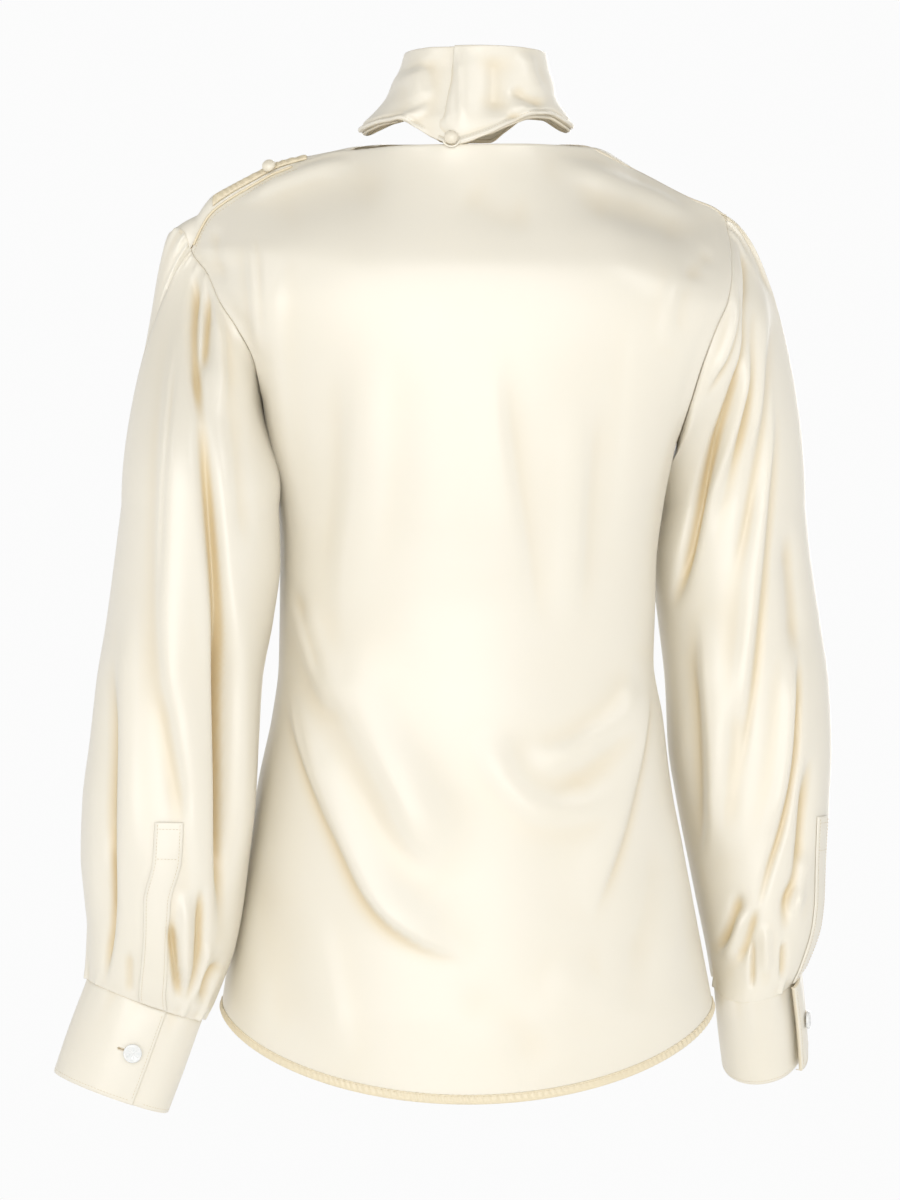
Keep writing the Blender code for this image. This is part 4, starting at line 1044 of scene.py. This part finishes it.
def stitches(name, path, normals, look, pitch=STITCH_PITCH, long=STITCH_LONG, wide=STITCH_WIDE):
    """A row of small stitches along a path, each one a slim bead of thread."""
    passed = passed_along(path)
    starts = np.arange(pitch / 2, passed[-1] - long, pitch)
    begin, end = read_path(path, passed, starts), read_path(path, passed, starts + long)
    up = unit(read_path(normals, passed, starts + long / 2))
    middle = (begin + end) / 2
    beside = unit(np.cross(end - begin, up)) * wide / 2
    out = up * wide * 0.55
    beads = np.stack([begin, middle + beside, middle + out, middle - beside, middle - out, end], axis=1)
    around = ((1, 2), (2, 3), (3, 4), (4, 1))
    corners = np.array([(0, after, this) for this, after in around] + [(5, *pair) for pair in around])
    faces = corners[None] + 6 * np.arange(len(starts))[:, None, None]
    mesh = bpy.data.meshes.new(name)
    mesh.from_pydata(beads.reshape(-1, 3).tolist(), [], faces.reshape(-1, 3).tolist())
    return keep(name, mesh, look)


def stitches_on(name, surface, u, v, look, lift, **sizes):
    """Stitches along a line drawn on a surface."""
    u, v = np.broadcast_arrays(u, v)
    return stitches(name, surface.at(u, v, lift), surface.normal(u, v), look, **sizes)


def cord(name, path, radius, look, around=14):
    """A round cord along a path, with its ends closed."""
    along = unit(np.gradient(path, axis=0))
    side = unit(np.cross(along, np.array((0.13, -0.22, 0.97))))
    other = np.cross(along, side)
    angle = np.linspace(0, 2 * math.pi, around, endpoint=False)[None, :, None]
    size = np.full(len(path), radius)
    size[0] = size[-1] = radius * 0.15
    ring = np.cos(angle) * side[:, None] + np.sin(angle) * other[:, None]
    grid = path[:, None] + size[:, None, None] * ring
    mesh = mesh_of(name, grid, True)
    faces_along(mesh, ring)
    return keep(name, mesh, look)


def turned_piece(name, profile, place, axis, look, around=64, unevenness=None):
    """A turned shape. The profile gives each ring's radius and its height along the axis."""
    axis = unit(np.array(axis))
    side = unit(np.cross(axis, np.array((0.3, 0.1, 0.95))))
    other = np.cross(axis, side)
    angle = np.linspace(0, 2 * math.pi, around, endpoint=False)
    rings = []
    for radius, height in profile:
        lift = np.zeros(around) if unevenness is None else unevenness(radius, angle)
        flat = radius * (np.cos(angle)[:, None] * side + np.sin(angle)[:, None] * other)
        rings.append(np.array(place) + flat + (height + lift)[:, None] * axis)
    grid = np.array(rings)
    mesh = mesh_of(name, grid, True)
    faces_along(mesh, grid - (np.array(place) + axis * profile[0][1] * 0.5))
    return keep(name, mesh, look)


def keep(name, mesh, look):
    """Puts a mesh in the scene as one smooth piece of the blouse."""
    mesh.materials.append(look)
    mesh.shade_smooth()
    item = bpy.data.objects.new(name, mesh)
    bpy.context.scene.collection.objects.link(item)
    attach(item, "root")
    return item


# Materials


def set_sockets(node, **values):
    """Sets a node's own sockets. Values name them, with _ for a space."""
    for socket, value in values.items():
        node.inputs[socket.replace("_", " ")].default_value = value


def shader_of(name, **values):
    """A new material with its nodes, its links and its shader."""
    made = bpy.data.materials.new(name)
    made.use_nodes = True
    nodes = made.node_tree.nodes
    shader = nodes["Principled BSDF"]
    set_sockets(shader, **values)
    return made, nodes, made.node_tree.links, shader


def added(nodes, kind, **values):
    """A new shader node with some of its sockets set."""
    made = nodes.new("ShaderNode" + kind)
    set_sockets(made, **values)
    return made


def colour_mix(nodes, **values):
    mix = added(nodes, "Mix")
    mix.data_type = "RGBA"
    set_sockets(mix, **values)
    return mix


def satin_material(name, colour, cloudy_colour, roughness=0.34):
    """Silk satin: a fine weave, a broad soft shine, golden painted shade in its hollows, and a golden tone in
    the light through the cloth.
    """
    made, nodes, links, shader = shader_of(
        name, Roughness=roughness, Specular_IOR_Level=1.0, Sheen_Weight=0.10, Sheen_Roughness=0.4
    )
    place = added(nodes, "TexCoord").outputs["Object"]
    clouds = added(nodes, "TexNoise", Scale=9.0, Detail=3.0)
    links.new(place, clouds.inputs["Vector"])
    spread = added(nodes, "MapRange", From_Min=0.35, From_Max=0.75, To_Max=0.35)
    links.new(clouds.outputs["Fac"], spread.inputs["Value"])
    tone = colour_mix(nodes, A=colour, B=cloudy_colour)
    links.new(spread.outputs["Result"], tone.inputs["Factor"])
    # Painted shade: the base colour is mixed toward a golden shade colour where the cloth lies in hollows and
    # at turned edges.
    painted_shade = added(nodes, "Attribute")
    painted_shade.attribute_name = "painted_shade"
    painted_shade_tint = colour_mix(nodes, B=PAINTED_SHADE_COLOUR)
    links.new(painted_shade.outputs["Fac"], painted_shade_tint.inputs["Factor"])
    links.new(tone.outputs["Result"], painted_shade_tint.inputs["A"])
    links.new(painted_shade_tint.outputs["Result"], shader.inputs["Base Color"])
    stretch = added(nodes, "Mapping", Scale=(1.0, 1.0, 0.25))
    weave = added(nodes, "TexNoise", Scale=2600.0, Detail=1.0)
    links.new(place, stretch.inputs["Vector"])
    links.new(stretch.outputs["Vector"], weave.inputs["Vector"])
    bump = added(nodes, "Bump", Strength=0.08, Distance=0.0002)
    links.new(weave.outputs["Fac"], bump.inputs["Height"])
    links.new(bump.outputs["Normal"], shader.inputs["Normal"])
    through = added(nodes, "BsdfTranslucent", Color=THROUGH_COLOUR)
    thin = added(nodes, "MixShader", Fac=0.13)
    links.new(shader.outputs["BSDF"], thin.inputs[1])
    links.new(through.outputs["BSDF"], thin.inputs[2])
    links.new(thin.outputs["Shader"], nodes["Material Output"].inputs["Surface"])
    return made


def two_colour_ramp(nodes, first, second, start=0.0, end=1.0):
    ramp = added(nodes, "ValToRGB")
    for element, colour, position in zip(ramp.color_ramp.elements, (first, second), (start, end)):
        element.color = colour
        element.position = position
    return ramp


def pearl_material():
    """Polished shell, clouded with grey and cream."""
    made, nodes, links, shader = shader_of(
        "pearl_button", Roughness=0.12, Coat_Weight=0.6, Coat_Roughness=0.05
    )
    place = added(nodes, "TexCoord")
    cloudy = added(nodes, "TexNoise", Scale=260.0, Distortion=1.5)
    ramp = two_colour_ramp(nodes, (0.62, 0.66, 0.66, 1), (0.90, 0.87, 0.84, 1))
    links.new(place.outputs["Object"], cloudy.inputs["Vector"])
    links.new(cloudy.outputs["Fac"], ramp.inputs["Fac"])
    links.new(ramp.outputs["Color"], shader.inputs["Base Color"])
    return made


def plain_material(name, colour, roughness, glow=0.0):
    shown = {"Base_Color": colour, "Roughness": roughness, "Emission_Strength": glow}
    return shader_of(name, **shown)[0]


# The blouse


def make_body(look):
    """The back, finer because its folds are, and the front."""
    for face, columns, rows in (("back", 216, 214), ("front", 160, 160)):
        down = np.linspace(0, 0.9975, rows) ** 1.1
        item = cloth(face + "_body", torso(face), np.linspace(-1, 1, columns), down, look, ("top", "sides"))
        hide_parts(face + "_panel")


def hem_pucker(passed):
    """The small uneven puckers that the stitches pull up, by the length passed along the hem."""
    phase = passed / 0.0047 + 0.4 * np.sin(passed / 0.031) + 0.3 * np.sin(passed / 0.0127 + 1)
    return 0.00045 * (0.65 + 0.35 * np.sin(passed / 0.037 + 2)) * np.sin(2 * math.pi * phase)


def make_hems(look, thread):
    """Each panel's turned hem, closer at the sides, with its row of stitches."""
    for face in FACES:
        surface = torso(face)
        across = np.sin(np.linspace(-1, 1, 620) * 1.1) / math.sin(1.1)
        top, foot = (surface.form(across, np.full(across.shape, down)) for down in (0.0, 1.0))
        passed = passed_along(foot)
        long = top[:, 2] - foot[:, 2]
        rows = []
        looks = []
        for profile, pulled, facing in ((HEM_OUTSIDE, 1, 1), (HEM_ROLL, 0.5, 0), (HEM_INSIDE, 0.3, -1)):
            for up, out in profile:
                down = 1 - up / 1000 / long
                lift = out / 1000 + pulled * hem_pucker(passed + up / HEM_SLANT)
                rows.append(surface.at(across, down, lift))
                looks.append(surface.normal(across, down) * facing)
        band = shell(face + "_hem_band", np.array(rows), np.array(looks), look, wall=HEM_WALL)
        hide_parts(face + "_hem")
        row = stitches_on(
            face + "_hem_stitches", surface, across, 1 - HEM_STITCH / 1000 / long, thread,
            0.0006 + hem_pucker(passed + HEM_STITCH / HEM_SLANT),
        )


def make_sleeves(look):
    for side in SIDES:
        turn = np.linspace(0, 1, 250, endpoint=False)
        down = np.linspace(0, 1, 190)
        item = cloth(side + "_arm", sleeve(side), turn, down, look, closed=True)
        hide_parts(side + "_sleeve_upper", side + "_sleeve_lower")


def make_plackets(look, thread):
    """A strip on each sleeve, stitched down both long edges and across in two places."""
    for side in SIDES:
        surface = sleeve(side)
        table = PLACKETS[side]
        down = np.linspace(table.rows[0, 0], table.rows[-1, 0], 90)
        first, second = table.at("first", down), table.at("second", down)
        item = strip(side + "_placket_strip", surface, first, second, down, look, PLACKET_LIFT)
        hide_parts(side + "_sleeve_placket")
        for name, share in (("near", 0.1), ("far", 0.9)):
            line = blend(first, second, share)
            stitches_on(f"{side}_placket_{name}_stitches", surface, line, down, thread, ON_PLACKET)
        for name, place in (("top", 0.035), ("cross", 0.20)):
            level = blend(down[0], down[-1], place)
            line = np.linspace(table.at("first", level), table.at("second", level), 40)
            row = line[3:-3]
            stitches_on(f"{side}_placket_{name}_stitches", surface, row, level, thread, ACROSS_PLACKET)


def cuff_surface(side):
    return Surface(
        lambda u, v: cuff_lap_point(side, u, v * CUFF_DEEP),
        lambda u, v, base: 0.0006 * np.sin(math.pi * v) + cuff_ripple(u, v),
        tuple(np.array(CUFFS[side]["top"]) + cuff_frame(side)[2] * CUFF_DEEP / 2),
        ((0, 360 + CUFF_LAP), (0, 1)),
    )


def cuff_ripple(degrees, share):
    """Slight waves in the cuff, and the short tucks that the gathered seam presses into its top."""
    wave = 0.0005 * np.sin(np.radians(degrees * 3 + 40)) * np.sin(math.pi * share)
    tucks = np.sin(np.radians(degrees * 11)) + 0.6 * np.sin(np.radians(degrees * 17 + 70))
    return wave + 0.00035 * tucks * np.exp(-share / 0.16)


def make_cuffs(look, thread, painted_slit_shade):
    for side in SIDES:
        surface = cuff_surface(side)
        past = np.linspace(0, 360 + CUFF_LAP, 190)
        down = np.linspace(0, 1, 34)
        item = cloth(side + "_wrist_cuff", surface, past, down, look, ("top", "foot", "sides"))
        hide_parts(side + "_cuff")
        edge = np.linspace(4, 350, 500)
        stitches_on(side + "_cuff_foot_stitches", surface, edge, 1 - 0.0022 / CUFF_DEEP, thread, 0.00005)
        stitches_on(side + "_cuff_end_stitches", surface, 2.5, np.linspace(0.03, 0.97, 80), thread, 0.00005)
        make_buttonhole(side, surface, thread, painted_slit_shade)


def make_buttonhole(side, surface, thread, painted_slit_shade):
    """A worked slit that runs on from under the button, away from the lap's edge."""
    down = CUFF_BUTTON_DOWN / CUFF_DEEP
    turn = np.linspace(CUFF_BUTTON_IN - 4, CUFF_BUTTON_IN + 15, 40)
    line = np.full(turn.shape, down)
    # The slit is a thin dark cord: painted shade that stands in for the gap in the cloth.
    slit = cord(side + "_buttonhole_slit", surface.at(turn, line, 0.0001), 0.0003, painted_slit_shade, 8)
    for name, shift in (("upper", -0.0007), ("lower", 0.0007)):
        edge = line + shift / CUFF_DEEP
        worked = {"pitch": 0.0006, "long": 0.0005, "wide": 0.0009}
        stitches_on(f"{side}_buttonhole_{name}", surface, turn, edge, thread, 0.0001, **worked)


def facing_form(degrees, rise):
    """The collar's form drawn inward, and down in the middle of its length."""
    inside = FACING_INSIDE + FACING_AT_TIP * np.abs(np.sin(np.radians(degrees))) ** 4
    share = (degrees - FACING_FROM) / (FACING_TO - FACING_FROM)
    drop = FACING_DROP * np.clip(np.sin(math.pi * share), 0, 1) ** 0.4
    return collar_form(degrees, rise, -inside, drop)


def collar_inside():
    """The facing's surface. It follows the collar's troughs, and not its ridges."""
    return Surface(
        facing_form,
        lambda u, v, base: np.minimum(collar_folds(u, base), 0),
        COLLAR_MIDDLE,
        ((FACING_FROM, FACING_TO), (0, 1)),
    )


def make_collar(look, lining, thread):
    surface = collar()
    turn = np.linspace(COLLAR_LAP_EDGE, 360 + COLLAR_UNDERLAP, 300)
    band = cloth("collar_band", surface, turn, np.linspace(0, 1, 72) ** 1.35, look, ("top", "foot", "sides"))
    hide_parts("collar")
    inner = collar_inside()
    turn = np.linspace(FACING_FROM, FACING_TO, 160)
    facing = cloth("collar_lining", inner, turn, np.linspace(0, FACING_TOP, 26), lining)
    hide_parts("collar_facing")
    stitches_on("collar_stitches", surface, np.linspace(COLLAR_LAP_EDGE + 2, 335, 600), 0.05, thread, 0.0)


def make_shoulder(gold, thread):
    """The left shoulder's closure: a gathered facing strip and the folded edge beside it."""
    surface = torso("front")
    across = np.linspace(-0.727, -0.382, 160)

    def ripple(share, along):
        slant = along / 0.026 + 0.5 * share + 0.3 * np.sin(along * 40)
        return 0.0004 * np.sin(2 * math.pi * slant) * np.sin(math.pi * share)

    turned = Surface(
        lambda u, v: surface.form(v, u),
        lambda u, v, base: surface.relief(v, u, base),
        BODY_MIDDLE,
        ((0, 1), (-1, 1)),
    )
    item = strip("shoulder_strip", turned, 0.0007, 0.0062, across, gold, 0.0008, ripple)
    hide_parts("shoulder_placket")
    edge = torso("back")
    along = np.linspace(-0.90, -0.42, 90)
    piping = cord("shoulder_piping", edge.at(along, np.full(along.shape, 0.003), 0.0009), 0.0009, gold)
    stitches_on("shoulder_stitches", edge, np.linspace(-0.97, -0.40, 200), 0.009, thread, 0.0001)


def make_covered_button(name, node, place, axis, look):
    """A small domed button covered in the blouse's own cloth."""
    radius = COVERED_BUTTON / 2
    turn = np.linspace(0, math.pi / 2, 15)
    dome = COVERED_BUTTON_HIGH - COVERED_BUTTON_RIM
    profile = [(0.0002, COVERED_BUTTON_HIGH)]
    profile += [(radius * math.sin(a), COVERED_BUTTON_RIM + dome * math.cos(a)) for a in turn[1:]]
    profile += [(radius * 0.97, 0.0009), (radius * 0.86, 0.0003), (radius * 0.4, 0.0001), (0.0002, 0.0001)]

    def pulled(distance, angle):
        share = distance / radius
        return 0.00013 * share**3 * (np.sin(7 * angle + 0.6) + 0.7 * np.sin(11 * angle))

    item = turned_piece(name, profile, place, axis, look, unevenness=pulled)
    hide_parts(node)


def make_pearl_button(name, node, place, axis, look):
    """A shell button cut in facets, a little dished, with a rounded rim."""
    radius = CUFF_BUTTON / 2
    profile = [
        (0.0001, 0.0021), (radius * 0.30, 0.0021), (radius * 0.62, 0.0026), (radius * 0.82, 0.0031),
        (radius * 0.93, 0.0029), (radius, 0.0020), (radius, 0.0012), (radius * 0.9, 0.0006), (0.0001, 0.0006),
    ]

    def cut(distance, angle):
        share = distance / radius
        deep = 0.00028 * math.sin(math.pi * min(share / 0.8, 1))
        return deep * np.sign(np.cos(5 * angle + 0.7)) * (share < 0.8)

    item = turned_piece(name, profile, place, axis, look, around=40, unevenness=cut)
    item.data.shade_flat()
    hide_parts(node)


def make_buttons(covered, pearl, look):
    """The neck button with its loop, the shoulder's button and the cuffs' two."""
    band = collar()
    turn = np.array(NECK_BUTTON_TURN)
    out = band.normal(turn, np.array(0.05))
    place = band.form(turn, np.array(0.0)) + np.array((0, 0, NECK_BUTTON_UP)) + out * NECK_BUTTON_OUT
    make_covered_button("neck_covered_button", "neck_button", place, out, covered)
    angle = np.radians(np.linspace(195, 345, 40))
    middle = place + np.array((0, 0.0004, 0))
    reach = LOOP_RADIUS * LOOP_CLOSE
    path = middle + points(reach * np.cos(angle), 0.0, reach * np.sin(angle))
    loop = cord("neck_button_loop", path, LOOP_CORD / 2, look)
    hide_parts("neck_loop")
    front = torso("front")
    turn, down = np.array(SHOULDER_BUTTON_ACROSS), np.array(SHOULDER_BUTTON_DOWN)
    place, out = front.at(turn, down, SHOULDER_BUTTON_OUT), front.normal(turn, down)
    make_covered_button("shoulder_covered_button", "shoulder_button", place, out, covered)
    turn, down = np.array(CUFF_BUTTON_IN), np.array(CUFF_BUTTON_DOWN / CUFF_DEEP)
    for side in SIDES:
        surface = cuff_surface(side)
        place, out = surface.at(turn, down, 0.0002), surface.normal(turn, down)
        make_pearl_button(side + "_pearl_button", side + "_cuff_button", place, out, pearl)


def make_stage():
    """A plain pale round floor, well below the cuffs and hem."""
    mesh = bpy.data.meshes.new("pale_floor")
    disc = bmesh.new()
    bmesh.ops.create_circle(disc, cap_ends=True, segments=96, radius=1.2)
    disc.to_mesh(mesh)
    disc.free()
    mesh.materials.append(plain_material("pale_floor", (0.88, 0.88, 0.88, 1), 0.9, glow=0.35))
    item = bpy.data.objects.new("pale_floor", mesh)
    item.location = (0, 0, -1.05)
    bpy.context.scene.collection.objects.link(item)


def soft_box(name, place, toward, size, power):
    data = bpy.data.lights.new(name, "AREA")
    data.shape = "RECTANGLE"
    data.size, data.size_y = size
    data.energy = power
    item = bpy.data.objects.new(name, data)
    item.location = place
    item.rotation_euler = (Vector(toward) - Vector(place)).to_track_quat("-Z", "Y").to_euler()
    bpy.context.scene.collection.objects.link(item)


def make_light():
    """A tall soft box on each side and two small ones above, in a white room with a darker ceiling."""
    soft_box("back_box", (-0.35, -4.2, 0.80), (0, 0, -0.35), (3.0, 4.2), 84)
    soft_box("front_box", (0.8, 4.2, 0.80), (0, 0, -0.35), (2.6, 3.6), 64)
    soft_box("right_top_box", (2.3, -2.2, 2.2), (0.1, 0, -0.2), (1.1, 1.1), 16)
    soft_box("left_top_box", (-2.4, -2.0, 2.0), (-0.1, 0, -0.2), (0.8, 0.8), 7)
    world = bpy.data.worlds.new("studio")
    world.use_nodes = True
    nodes = world.node_tree.nodes
    links = world.node_tree.links
    place = added(nodes, "TexCoord")
    split = added(nodes, "SeparateXYZ")
    ramp = two_colour_ramp(nodes, (0.97, 0.97, 0.97, 1), (0.22, 0.22, 0.22, 1), 0.26, 0.66)
    links.new(place.outputs["Generated"], split.inputs["Vector"])
    links.new(split.outputs["Z"], ramp.inputs["Fac"])
    links.new(ramp.outputs["Color"], nodes["Background"].inputs["Color"])
    bpy.context.scene.world = world


def make_camera():
    """A level camera 3 m behind the blouse, at the middle of its height."""
    data = bpy.data.cameras.new("camera")
    data.lens = 125
    data.sensor_width = 36
    item = bpy.data.objects.new("camera", data)
    item.location = (-0.0122, -3.0, -0.3276)
    item.rotation_euler = (math.pi / 2, 0, 0)
    bpy.context.scene.collection.objects.link(item)
    bpy.context.scene.camera = item


def main():
    satin = satin_material("satin", (0.87, 0.825, 0.715, 1), (0.85, 0.79, 0.65, 1))
    band = satin_material("satin_band", (0.85, 0.75, 0.54, 1), (0.80, 0.68, 0.45, 1), 0.38)
    lining = satin_material("satin_lining", (0.86, 0.80, 0.66, 1), (0.82, 0.75, 0.60, 1), 0.5)
    gold = satin_material("satin_edge", (0.80, 0.70, 0.50, 1), (0.74, 0.62, 0.41, 1), 0.4)
    covered = satin_material("covered_button", (0.84, 0.78, 0.65, 1), (0.78, 0.70, 0.54, 1), 0.28)
    thread = plain_material("thread", (0.70, 0.58, 0.38, 1), 0.6)
    # A dark brown for the buttonhole slits: painted shade standing in for the gap.
    painted_slit_shade = plain_material("slit", (0.40, 0.30, 0.16, 1), 0.8)
    pearl = pearl_material()
    make_body(satin)
    make_hems(band, thread)
    make_sleeves(satin)
    make_plackets(satin, thread)
    make_cuffs(satin, thread, painted_slit_shade)
    make_collar(satin, lining, thread)
    make_shoulder(gold, thread)
    make_buttons(covered, pearl, satin)
    make_camera()
    make_light()
    make_stage()
    bpy.context.scene.view_settings.view_transform = "Standard"


main()
